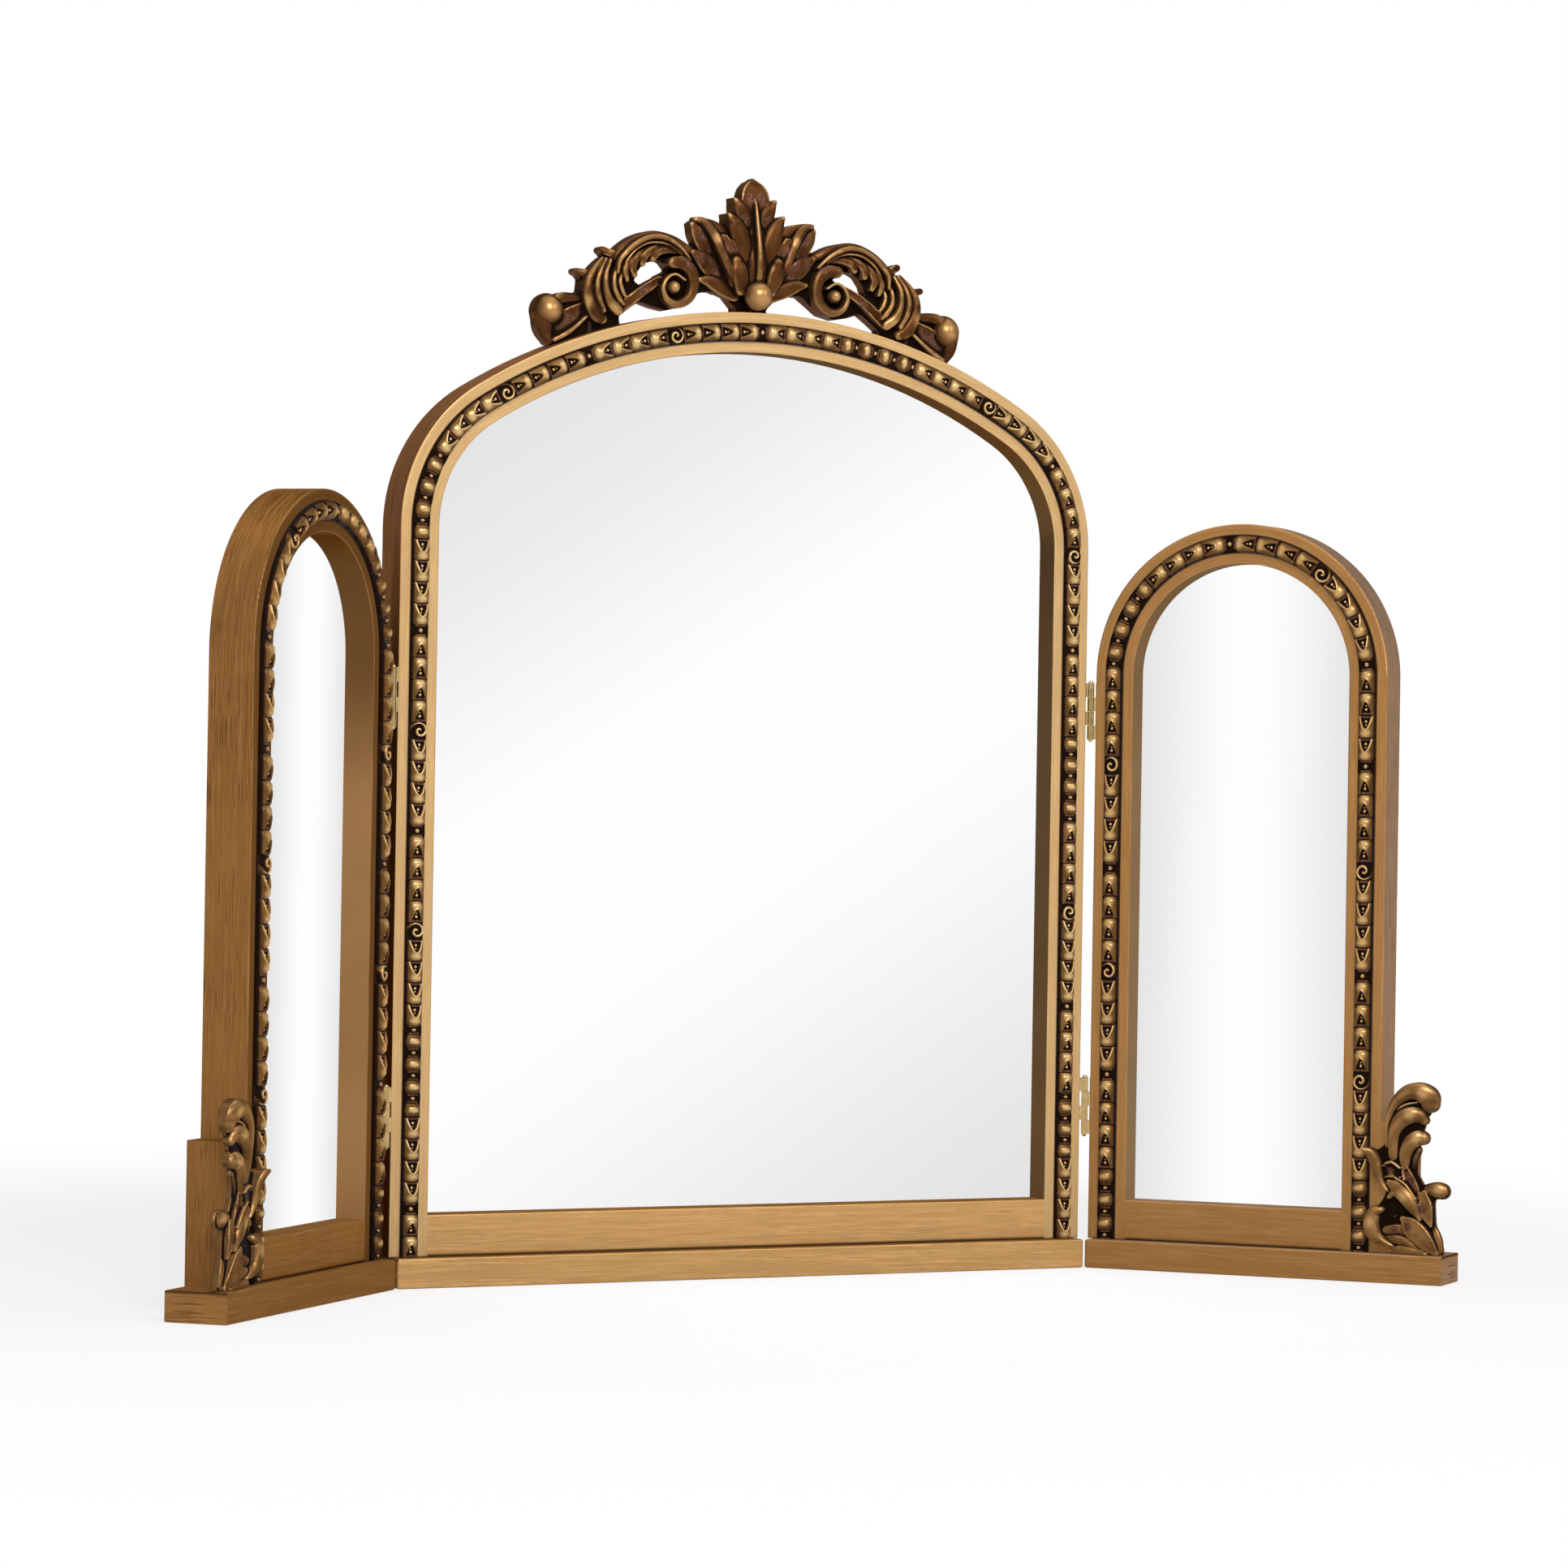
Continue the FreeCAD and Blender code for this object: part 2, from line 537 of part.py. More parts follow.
def build():
    """All nodes in the object's own frame, with the wings at the angles that they stand at."""
    axis_x = CENTRE.half + HINGE_GAP / 2
    wing_axis_x = -WING.half - HINGE_GAP / 2
    spans = knuckle_spans()
    near_leaf = hinge_leaf(spans[0::2], spans[1::2])
    far_leaf = mirrored(hinge_leaf(spans[1::2], spans[0::2]))
    near_holes = hinge_screws(-1, axis_x).holes
    far_holes = hinge_screws(1, wing_axis_x).holes
    nodes = {"centre_" + name: shape for name, shape in centre_panel(axis_x).items()}
    wing = {"wing_" + name: shape for name, shape in wing_panel(wing_axis_x).items()}
    for place, z in HINGE_HEIGHTS.items():
        wing[place + "_hinge_wing_leaf"] = cut_all(moved(far_leaf, wing_axis_x, 0, z), far_holes)
    for side, word, angle in ((-1, "left", LEFT_ANGLE), (1, "right", RIGHT_ANGLE)):
        facing = mirrored if side < 0 else Part.Shape.copy
        for place, z in HINGE_HEIGHTS.items():
            leaf = cut_all(moved(near_leaf, axis_x, 0, z), near_holes)
            nodes[f"{word}_{place}_hinge_centre_leaf"] = facing(leaf)
            nodes[f"{word}_{place}_hinge_pin"] = facing(moved(hinge_pin(), axis_x, 0, z))
        for name, shape in wing.items():
            turned = facing(moved(shape, axis_x - wing_axis_x, 0, 0))
            turned.rotate(Vector(side * axis_x, 0, 0), UP, -side * angle)
            nodes[f"{word}_{name}"] = turned
    return {name: moved(shape, 0, FRONT_Y, 0) for name, shape in nodes.items()}


os.makedirs("parts", exist_ok=True)
for node, shape in sorted(build().items()):
    shape.exportStep(f"parts/{node}.step")
    state = "valid" if shape.isValid() else "INVALID"
    print(node, len(shape.Solids), "solids", round(shape.Volume / 1000, 2), "cm3", state)
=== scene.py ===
import json
import math

import bpy
import numpy as np
from mathutils import Matrix, Vector


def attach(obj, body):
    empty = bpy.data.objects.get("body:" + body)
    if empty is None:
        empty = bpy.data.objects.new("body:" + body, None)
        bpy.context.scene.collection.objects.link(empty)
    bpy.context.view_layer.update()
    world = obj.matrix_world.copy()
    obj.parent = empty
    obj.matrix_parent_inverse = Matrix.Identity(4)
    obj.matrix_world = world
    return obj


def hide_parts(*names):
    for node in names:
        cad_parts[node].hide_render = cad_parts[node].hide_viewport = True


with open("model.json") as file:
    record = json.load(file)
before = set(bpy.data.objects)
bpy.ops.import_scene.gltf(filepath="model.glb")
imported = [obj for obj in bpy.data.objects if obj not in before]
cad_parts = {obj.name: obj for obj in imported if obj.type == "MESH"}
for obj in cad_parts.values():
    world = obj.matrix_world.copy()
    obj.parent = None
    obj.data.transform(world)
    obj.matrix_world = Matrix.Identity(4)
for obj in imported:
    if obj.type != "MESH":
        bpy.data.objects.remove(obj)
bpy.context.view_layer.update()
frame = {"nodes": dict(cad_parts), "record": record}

# Sizes in millimetres, as the frames are built
MM = 0.001
FRONT_Y = -9.5
FRAME_FACE = 26.5
PLINTH_HEIGHT = 19.0
HINGE_GAP = 7.0
BEAD_WIDTH = 12.0
BEAD_INSET = FRAME_FACE / 2
CENTRE_HALF, CENTRE_SPRING, CENTRE_SHOULDER, CENTRE_TOP = 251.5, 483.0, 107.0, 630.5
WING_HALF, WING_SPRING = 102.0, 398.5
LEFT_ANGLE, RIGHT_ANGLE = 43.5, 49.5

# Camera: where it stands, how it is turned, and its lens in pixels of the picture
PICTURE = 1932.0
CAMERA_PLACE = (-1630.64, -3253.1 + FRONT_Y, 341.43)
CAMERA_YAW, CAMERA_PITCH, CAMERA_ROLL = 27.29, 0.61, 0.93
CAMERA_FOCUS = 6854.07
CAMERA_AXIS = (1007.96, 857.52)
SENSOR = 36.0


class Panel:
    """An arched panel in its own millimetres: x from its middle, y back from its front, z up."""

    def __init__(self, word, half, spring, shoulder, top, side=0, angle=0.0):
        self.word = word
        self.half = half
        self.spring = spring
        self.shoulder = shoulder
        self.top = top
        self.side = side
        self.offset = half - shoulder
        self.crown = 0.0
        self.turn = 0.0
        if self.offset > 0:
            rise = top - spring
            self.crown = (self.offset ** 2 + rise ** 2 - shoulder ** 2) / (2 * (rise - shoulder))
            self.turn = math.atan2(self.offset, spring - top + self.crown)
        self.matrix = Matrix.Scale(MM, 4) @ Matrix.Translation((0, FRONT_Y, 0))
        if side:
            axis = CENTRE_HALF + HINGE_GAP / 2
            to_axis, from_axis = (Matrix.Translation((way * axis, 0, 0)) for way in (side, -side))
            swing = Matrix.Rotation(math.radians(-side * angle), 4, "Z")
            about = to_axis @ swing @ from_axis
            facing = Matrix.Diagonal((side, 1, 1, 1))
            middle = Matrix.Translation((axis + HINGE_GAP / 2 + half, 0, 0))
            self.matrix = self.matrix @ about @ facing @ middle

    def to_object(self, points):
        """Rows of points, from the panel's millimetres to the object's metres."""
        m = np.array(self.matrix)
        return points @ m[:3, :3].T + m[:3, 3]

    def from_object(self, points):
        """Rows of points, from the object's metres to the panel's millimetres."""
        m = np.array(self.matrix.inverted())
        return points @ m[:3, :3].T + m[:3, 3]

    def along(self, inset):
        """The run up one stile, over the arch and down the other: its stops and their angles."""
        stile = self.spring - PLINTH_HEIGHT
        bend = (self.shoulder - inset) * (math.pi / 2 - self.turn)
        crown = (self.crown - inset) * 2 * self.turn
        stops = np.cumsum([0, stile, bend, crown, bend, stile])
        square = math.pi / 2
        return stops, [-square, -square, -self.turn, self.turn, square, square]

    def run(self, s, inset):
        """Where the run is at distances s: x, z, and the angle from upright that its edge faces."""
        stops, angles = self.along(inset)
        a = np.interp(s, stops, angles)
        over = np.abs(a) < self.turn
        crown = self.crown - inset
        bend = self.shoulder - inset
        x = np.where(over, crown * np.sin(a), np.sign(a) * self.offset + bend * np.sin(a))
        z = np.where(over, self.top - self.crown + crown * np.cos(a), self.spring + bend * np.cos(a))
        z = np.where(s < stops[1], PLINTH_HEIGHT + s, z)
        z = np.where(s > stops[4], PLINTH_HEIGHT + stops[5] - s, z)
        return x, z, a


CENTRE = Panel("centre", CENTRE_HALF, CENTRE_SPRING, CENTRE_SHOULDER, CENTRE_TOP)
LEFT = Panel("left_wing", WING_HALF, WING_SPRING, WING_HALF, WING_SPRING + WING_HALF, -1, LEFT_ANGLE)
RIGHT = Panel("right_wing", WING_HALF, WING_SPRING, WING_HALF, WING_SPRING + WING_HALF, 1, RIGHT_ANGLE)


# Shader arithmetic

# Outputs of the Texture Coordinate and Light Path nodes
GENERATED, NORMAL, PLACE = 0, 1, 3
CAMERA_RAY, GLOSSY_RAY, CLEAR_RAY, RAY_LENGTH = 0, 3, 6, 8


class Value:
    """A socket's value. Arithmetic on it adds Math nodes."""

    def __init__(self, finish, socket):
        self.finish = finish
        self.socket = socket

    def math(self, operation, *others):
        sockets = dict(enumerate(others, 1))
        return self.finish.node("Math", {"operation": operation}, {0: self, **sockets})[0]

    def reflected(self, operation, other):
        return self.finish.node("Math", {"operation": operation}, {0: other, 1: self})[0]

    def __add__(self, other):
        return self.math("ADD", other)

    def __sub__(self, other):
        return self.math("SUBTRACT", other)

    def __mul__(self, other):
        return self.math("MULTIPLY", other)

    def __truediv__(self, other):
        return self.math("DIVIDE", other)

    def __pow__(self, other):
        return self.math("POWER", other)

    def __rsub__(self, other):
        return self.reflected("SUBTRACT", other)

    def __rtruediv__(self, other):
        return self.reflected("DIVIDE", other)

    __radd__ = __add__
    __rmul__ = __mul__

    def __neg__(self):
        return 0 - self

    def __abs__(self):
        return self.math("ABSOLUTE")

    def at_least(self, other):
        return self.math("MAXIMUM", other)

    def step(self, low, high):
        """0 below low and 1 above high, smooth between."""
        smooth = {"interpolation_type": "SMOOTHSTEP"}
        return self.finish.node("MapRange", smooth, {0: self, 1: low, 2: high})[0]


class Finish:
    """Nodes under construction, for a material or the world."""

    def __init__(self, owner):
        owner.use_nodes = True
        self.owner = owner
        self.tree = owner.node_tree
        self.tree.nodes.clear()

    def node(self, kind, settings=None, inputs=None):
        """Adds a node and returns its outputs. A ramp's stops are given as a setting."""
        made = self.tree.nodes.new("ShaderNode" + kind)
        for key, value in (settings or {}).items():
            if key == "stops":
                ramp = made.color_ramp.elements
                while len(ramp) < len(value):
                    ramp.new(0.5)
                for element, (place, colour) in zip(ramp, value):
                    element.position = place
                    element.color = (*colour, 1.0)
            else:
                setattr(made, key, value)
        for key, value in (inputs or {}).items():
            if isinstance(value, Value):
                self.tree.links.new(value.socket, made.inputs[key])
            elif isinstance(value, tuple) and made.inputs[key].type == "RGBA":
                made.inputs[key].default_value = (*value, 1.0)
            else:
                made.inputs[key].default_value = value
        return [Value(self, socket) for socket in made.outputs]

    def mix(self, factor, a, b):
        """One colour over another."""
        return self.node("Mix", {"data_type": "RGBA"}, {0: factor, 6: a, 7: b})[2]

    def noise(self, vector, scale=1.0, detail=4.0, rough=0.55):
        sockets = {"Vector": vector, "Scale": scale, "Detail": detail, "Roughness": rough}
        return self.node("TexNoise", None, sockets)[0]

    def ramp(self, value, stops):
        """A grey or colour that changes along a value, from (place, colour) stops."""
        return self.node("ValToRGB", {"stops": stops}, {0: value})[0]

    def vector(self, x, y, z):
        return self.node("CombineXYZ", None, {0: x, 1: y, 2: z})[0]

    def attribute(self, name):
        return self.node("Attribute", {"attribute_name": name})[2]

    def place(self):
        """The surface's place in the object's own metres."""
        return self.node("TexCoord")[PLACE]

    def along(self, vector, way):
        """How far a vector reaches along a fixed way."""
        return self.node("VectorMath", {"operation": "DOT_PRODUCT"}, {0: vector, 1: tuple(way)})[1]

    def measure(self, panel):
        """The surface's x, y and z in a panel's own millimetres."""
        place = self.place()
        return [self.along(place, row[:3]) + row[3] for row in panel.matrix.inverted()[:3]]

    def facing(self, panel, axis):
        """How squarely the surface faces a panel's front, for axis 1, or its sides, for axis 0."""
        normal = self.node("TexCoord")[NORMAL]
        reach = self.along(normal, -panel.matrix.col[axis].xyz.normalized())
        return reach if axis else abs(reach)

    def rays(self):
        """1 for a ray from the camera, 1 for one off gloss or through glass, and the ray's length."""
        paths = self.node("LightPath")
        return paths[CAMERA_RAY], paths[GLOSSY_RAY].at_least(paths[CLEAR_RAY]), paths[RAY_LENGTH]

    def bump(self, height, depth, strength):
        return self.node("Bump", None, {"Height": height, "Distance": depth, "Strength": strength})[0]

    def surface(self, **sockets):
        """The finished shader, from the Principled sockets that are given."""
        named = {key.replace("_", " "): value for key, value in sockets.items()}
        shader = self.node("BsdfPrincipled", None, named)[0]
        self.node("OutputMaterial", None, {0: shader})
        return self.owner


def new_finish(name):
    return Finish(bpy.data.materials.new(name))


# Finishes

# The three panels share one gilt: its tones differ from panel to panel as painted light and shade, for
# how the lamps fall on each
# Tones of the left wing (-1), the centre (0) and the right wing (1): pale, middle and deep
# Front faces beside the mouldings, then rails and plinths
RIGHT_GOLD = [(0.50, 0.258, 0.088), (0.40, 0.195, 0.062), (0.17, 0.072, 0.021)]
STRIP_GOLD = {
    -1: [(0.235, 0.116, 0.040), (0.18, 0.085, 0.028), (0.09, 0.038, 0.011)],
    0: [(0.75, 0.49, 0.228), (0.65, 0.405, 0.175), (0.34, 0.185, 0.065)],
    1: RIGHT_GOLD,
}
RAIL_GOLD = {
    -1: [(0.44, 0.22, 0.077), (0.34, 0.163, 0.053), (0.15, 0.064, 0.019)],
    0: [(0.78, 0.466, 0.19), (0.635, 0.36, 0.135), (0.27, 0.127, 0.040)],
    1: RIGHT_GOLD,
}
# Outer sides, then ends and edges of rails and plinths
SIDE_BROWN = {
    -1: [(0.37, 0.175, 0.053), (0.275, 0.124, 0.035), (0.085, 0.034, 0.010)],
    0: [(0.42, 0.20, 0.090), (0.33, 0.15, 0.062), (0.12, 0.05, 0.018)],
    1: [(0.49, 0.33, 0.225), (0.41, 0.265, 0.172), (0.19, 0.112, 0.068)],
}
LEFT_END = [(0.50, 0.25, 0.080), (0.39, 0.186, 0.057), (0.13, 0.055, 0.016)]
END_BROWN = {
    -1: LEFT_END,
    0: LEFT_END,
    1: [(0.62, 0.40, 0.24), (0.52, 0.32, 0.185), (0.21, 0.115, 0.062)],
}
# Inner edges: low down, and in the arch, where they are darker as painted shade
REVEAL_BROWN = {
    -1: [(0.38, 0.20, 0.077), (0.15, 0.072, 0.023)],
    0: [(0.19, 0.118, 0.060), (0.155, 0.092, 0.044)],
    1: [(0.36, 0.25, 0.155), (0.28, 0.19, 0.115)],
}
# Painted shade: brown in the hinge gaps and in the corner above each plinth
SHADED_BROWN = (0.055, 0.024, 0.007)

# Carving, rubbed, middle and deep: mouldings, ornaments and crest. The rubbed tone also serves for
# painted highlights, and the wings' mouldings are darker than the centre's as painted shade
WING_HUSK_GOLD = [(0.72, 0.445, 0.175), (0.20, 0.096, 0.028), (0.10, 0.045, 0.013)]
HUSK_GOLD = {
    -1: WING_HUSK_GOLD,
    0: [(0.82, 0.55, 0.245), (0.24, 0.122, 0.038), (0.12, 0.055, 0.016)],
    1: WING_HUSK_GOLD,
}
LEAF_GOLD = [(0.64, 0.375, 0.155), (0.36, 0.185, 0.064), (0.19, 0.088, 0.028)]
CREST_GOLD = [(0.56, 0.31, 0.118), (0.125, 0.048, 0.014), (0.055, 0.019, 0.006)]
# What faces sideways on the carving: brown, partly painted shade
WALL_BROWN = (0.15, 0.078, 0.031)
RED_GROUND = [(0.21, 0.098, 0.062), (0.075, 0.029, 0.016)]
# Dark glaze in hollows, which also stands as painted shade there
GLAZE_AND_SHADE = (0.010, 0.0045, 0.0025)
# Shares of metal in the frames' gilt, the carving of mouldings, ornaments and crest, and the glaze
FRAME_METAL, HUSK_METAL, LEAF_METAL, CREST_METAL, GLAZE_METAL = 0.6, 0.5, 0.7, 0.6, 0.1
# What the gilt's gloss turns to at a glancing view, in place of white
EDGE_TINT = (0.42, 0.30, 0.18)

# Brushed scratches: millimetres across and along the grain, and detail
THIN_SCRATCH = (0.7, 30.0, 2.5)
BROAD_SCRATCH = (2.4, 60.0, 3.0)
# How squarely a face looks forward or sideways: not at all, and fully
FRONT_ON, SIDE_ON = (0.35, 0.8), (0.5, 0.8)
# In millimetres: how deep the painted shade of the hinge gap reaches on the centre and on the left
# wing, the strip of the left wing's front that it takes in, the inner edge's start, the arch's start,
# and the worn edge with its painted highlight
CENTRE_GAP, WING_GAP, GAP_STRIP = (8.0, 22.0), (5.0, 16.0), (8.0, 6.5)
REVEAL_START = (24.0, 26.0)
ARCH_START = (-110.0, 10.0)
WORN_LIT_EDGE = (0.3, 0.7)

# Where each wing's mirror is brightest and how far it takes to dim, in millimetres, and its two greys:
# a painted reflection
WING_SHEEN = {-1: (-24.0, 65.0), 1: (0.0, 92.0)}
WING_GREYS = (0.985, 0.76)
# The centre mirror's greys, a painted reflection, from its top left to its low right
CENTRE_SHEEN = [
    (0.03, 0.77), (0.165, 0.838), (0.271, 0.922), (0.355, 0.98), (0.45, 0.99), (0.57, 0.985),
    (0.67, 0.945), (0.80, 0.86), (0.90, 0.80), (1.0, 0.76),
]


def edge_distance(f, panel, run):
    """In millimetres: in from the frame's outer edge, along the grain, back from the front, and up."""
    x, y, z = f.measure(panel)
    if run == "level":
        return z, x, y, z
    if run == "upright":
        return panel.half - abs(x), z, y, z
    across = abs(x) - panel.offset
    up = z - panel.spring
    edge = panel.shoulder - (across * across + up * up) ** 0.5
    grain = panel.spring + (math.pi / 2 - across.math("ARCTAN2", up)) * panel.shoulder
    if panel.turn > 0:
        rise = z - (panel.top - panel.crown)
        over = (rise * math.tan(panel.turn) - abs(x)).math("GREATER_THAN", 0.0)
        edge = edge * (1 - over) + (panel.crown - (x * x + rise * rise) ** 0.5) * over
        bend = panel.spring + (math.pi / 2 - panel.turn) * panel.shoulder
        grain_over = bend + (panel.turn - abs(x).math("ARCTAN2", rise)) * panel.crown
        grain = grain * (1 - over) + grain_over * over
    return edge, grain, y, z


def brushed_gilt(panel, run, moulded=True):
    """Brushed antique gold on a member of a frame, scratched along its run, browner on its sides, with
    painted shade in the hinge gaps, above the plinths and in the arch's inner edges, and a painted
    highlight on its edges.
    """
    f = new_finish(f"brushed_gilt_{panel.word}_{run}{'' if moulded else '_plain'}")
    pale, mid, deep = (STRIP_GOLD if moulded else RAIL_GOLD)[panel.side]
    side_pale, side_mid, side_deep = (END_BROWN if run == "level" else SIDE_BROWN)[panel.side]
    edge, grain, depth, height = edge_distance(f, panel, run)
    if run == "level":
        end = f.facing(panel, 0).step(*SIDE_ON)
        grain = grain + depth * end
        depth = depth * (1 - end)
    front = f.facing(panel, 1).step(*FRONT_ON)
    thin, broad = (
        f.noise(f.vector(edge / across, depth / across, grain / along), detail=detail)
        for across, along, detail in (THIN_SCRATCH, BROAD_SCRATCH)
    )
    cloud = f.noise(f.place(), 13.0, 3.0, 0.5)
    streak = (thin * 0.5 + broad * 0.5).step(0.42, 0.58)
    patch = (cloud * 0.5 + broad * 0.5).step(0.42, 0.55)
    scratch = thin.step(0.53, 0.61) * (0.3 + 0.7 * patch)
    gold = f.mix(scratch * 0.4, f.mix(streak, mid, pale), deep)
    side = f.mix(scratch * 0.8, f.mix(streak, side_mid, side_pale), side_deep)
    if moulded:
        arched = height.step(*(panel.spring + start for start in ARCH_START))
        if not panel.side:
            # Painted shade on the centre's sides, low down in the hinge gaps
            gap_shade = f.facing(panel, 0).step(*SIDE_ON) * (1 - depth.step(*CENTRE_GAP))
            side = f.mix((1 - arched) * gap_shade, side, SHADED_BROWN)
        # Painted shade: the inner edges darken into the arch
        reveal = f.mix(arched, *REVEAL_BROWN[panel.side])
        reveal = f.mix(cloud.step(0.3, 0.7) * 0.2, reveal, side_deep)
        inner = edge.step(*REVEAL_START) * (1 - front)
        side = f.mix(inner, side, reveal)
        thin, streak = thin * (1 - inner), streak * (1 - inner)
    colour = f.mix(front, side, gold)
    if moulded:
        # A dark line along both sides of the moulding: glaze in the crease, and painted shade
        from_moulding = abs(abs(edge - BEAD_INSET) - BEAD_WIDTH / 2)
        line = (1 - from_moulding.step(0.1, 0.8)) * front
        colour = f.mix(line * (0.45 + 0.5 * broad), colour, RED_GROUND[1])
        # Pale worn edges, which also stand as a painted highlight on the sharp arrises
        rim = (FRAME_FACE / 2 - abs(edge - FRAME_FACE / 2)).at_least(depth)
        worn = (1 - rim.step(*WORN_LIT_EDGE)) * broad.step(0.35, 0.6)
        colour = f.mix(worn * 0.7, colour, RAIL_GOLD[panel.side][0])
    # Painted shade on the left wing's hinge-side strip, low down and towards its front, where the gap
    # is
    if moulded and panel.side < 0 and run == "upright":
        hinge_shade = (-f.measure(panel)[0]).step(*(panel.half - strip for strip in GAP_STRIP))
        hinge_shade = hinge_shade * (1 - arched) * (1 - depth.step(*WING_GAP))
        colour = f.mix(hinge_shade * 0.85, colour, SHADED_BROWN)
    if run == "level":
        # Painted shade in the corner above the plinth
        corner = (1 - abs(edge - PLINTH_HEIGHT).step(0.6, 2.6)) * (1 - abs(depth).step(1.0, 3.5))
        colour = f.mix(corner * 0.85, colour, SHADED_BROWN)
    return f.surface(
        Base_Color=colour,
        Metallic=FRAME_METAL,
        Roughness=0.36 + 0.2 * streak,
        Specular_IOR_Level=0.0,
        Specular_Tint=EDGE_TINT,
        Normal=f.bump(thin, 0.00012, 0.5),
    )


def glazed_gilt(panel, word, tones, metal):
    """Burnished gold on carving: rubbed bright on its ridges, dark glaze left in its hollows; both
    stand also as painted highlight and painted shade.
    """
    f = new_finish(f"glazed_gilt_{panel.word}_{word}")
    place = f.place()
    relief = f.attribute("relief")
    blush = f.attribute("blush")
    speck = f.noise(place, 1100.0, 3.0, 0.6)
    cloud = f.noise(place, 70.0, 3.0, 0.5)
    rubbed, mid, deep = tones
    gold = f.mix(cloud.step(0.3, 0.7), deep, mid)
    # Ridges and painted highlights take the rubbed tone
    rub_and_highlight = (-relief).step(0.2, 0.8)
    gold = f.mix(rub_and_highlight * 0.9, gold, rubbed)
    gold = f.mix(speck.step(0.60, 0.76) * 0.35, gold, deep)
    # What faces sideways turns brown, partly as painted shade
    wall = 1 - f.facing(panel, 1).step(-0.1, 0.4)
    gold = f.mix(wall * 0.75, gold, WALL_BROWN)
    rust = f.mix(speck.step(0.42, 0.62), RED_GROUND[1], RED_GROUND[0])
    worn = (blush * 0.8 + relief.step(0.0, 0.3) * 0.6 + (cloud - 0.5) * 0.4).step(0.25, 0.85)
    gold = f.mix(worn, gold, rust)
    # Glaze, and painted shade, in the hollows and recesses
    dark = (relief + (speck - 0.5) * 0.2).step(0.14, 0.6)
    return f.surface(
        Base_Color=f.mix(dark, gold, GLAZE_AND_SHADE),
        Metallic=metal - (metal - GLAZE_METAL) * dark,
        Roughness=0.30 + 0.12 * speck + 0.25 * dark - 0.03 * rub_and_highlight,
        Specular_IOR_Level=0.1,
        Specular_Tint=EDGE_TINT,
        Normal=f.bump(speck, 0.00012, 0.15),
    )


def silvered_glass(panel):
    """Clear glass over silver, its colour holding a painted reflection that greys towards its edges."""
    f = new_finish(f"silvered_glass_{panel.word}")
    x, _, z = f.measure(panel)
    haze = f.noise(f.place(), 6.0, 2.0)
    if panel.side:
        middle, reach = WING_SHEEN[panel.side]
        tint = f.mix(abs(x - middle).step(4.0, reach), *((grey,) * 3 for grey in WING_GREYS))
    else:
        slant = (x * 0.00125 - (z - 300.0) * 0.002 + 0.8) / 1.6
        tint = f.ramp(slant, [(place, (grey,) * 3) for place, grey in CENTRE_SHEEN])
    return f.surface(Base_Color=tint, Metallic=1.0, Roughness=0.010 + 0.008 * haze)


def polished_brass():
    """Hinge brass, with fine scratches."""
    f = new_finish("polished_brass")
    scratch = f.noise(f.place(), 160.0, 4.0)
    colour = f.mix(scratch.step(0.35, 0.7), (0.50, 0.33, 0.13), (0.66, 0.47, 0.21))
    return f.surface(Base_Color=colour, Metallic=1.0, Roughness=0.17 + 0.12 * scratch)


def bright_zinc():
    """Plated steel, for the steel parts other than the brads and crest pins."""
    f = new_finish("bright_zinc")
    scratch = f.noise(f.place(), 900.0, 4.0)
    colour = f.mix(scratch, (0.42, 0.42, 0.40), (0.66, 0.66, 0.63))
    return f.surface(Base_Color=colour, Metallic=1.0, Roughness=0.3 + 0.2 * scratch)


def plain_wood(name, pale, dark, scale):
    """Unfinished wood or board, flecked at a scale."""
    f = new_finish(name)
    place = f.place()
    fleck = f.noise(place, scale, 5.0, 0.65)
    broad = f.noise(place, scale / 25, 3.0)
    colour = f.mix((fleck * 0.7 + broad * 0.3).step(0.35, 0.65), dark, pale)
    return f.surface(
        Base_Color=colour,
        Roughness=0.6 + 0.25 * fleck,
        Specular_IOR_Level=0.15,
        Normal=f.bump(fleck, 0.0002, 0.4),
    )


# Mesh work

def soft_step(x, low, high):
    """0 below low and 1 above high, smooth between."""
    t = np.clip((x - low) / (high - low), 0, 1)
    return t * t * (3 - 2 * t)


def join(pieces):
    """Several (points, faces) as one."""
    points, faces, count = [], [], 0
    for p, q in pieces:
        points.append(p)
        faces += [tuple(i + count for i in face) for face in q]
        count += len(p)
    return np.vstack(points), faces


def turned_over(piece):
    """The same piece mirrored in x."""
    points, faces = piece
    return points * (-1, 1, 1), [face[::-1] for face in faces]


SPAN_STEPS = 7


def smooth_line(points):
    """A smooth line through points with any number of columns."""
    p = np.array(points, float)
    p = np.vstack([2 * p[0] - p[1], p, 2 * p[-1] - p[-2]])
    t = np.linspace(0, 1, SPAN_STEPS, endpoint=False)[:, None]
    spans = []
    for a, b, c, d in zip(p, p[1:], p[2:], p[3:]):
        bend, twist = 2 * a - 5 * b + 4 * c - d, 3 * b - a - 3 * c + d
        spans.append(0.5 * (2 * b + (c - a) * t + bend * t ** 2 + twist * t ** 3))
    return np.vstack(spans + [p[-2][None]])


def tube(rings):
    """A closed tube through rings of points."""
    n, k = len(rings), len(rings[0])
    faces = [tuple(reversed(range(k)))]
    for i in range(n - 1):
        for j in range(k):
            m = (j + 1) % k
            faces.append((i * k + j, i * k + m, (i + 1) * k + m, (i + 1) * k + j))
    faces.append(tuple((n - 1) * k + j for j in range(k)))
    return np.vstack(rings), faces


# Steps across a rib's front, and turns that round off its ends
FRONT = np.linspace(-1, 1, 13)
END_TURNS = (0.5, 0.95, 1.35)
THINNEST = 0.35
# Steps around and up a lump
AROUND = np.linspace(0, 2 * math.pi, 36, endpoint=False)
UPWARDS = np.linspace(-1.5, 1.5, 28)


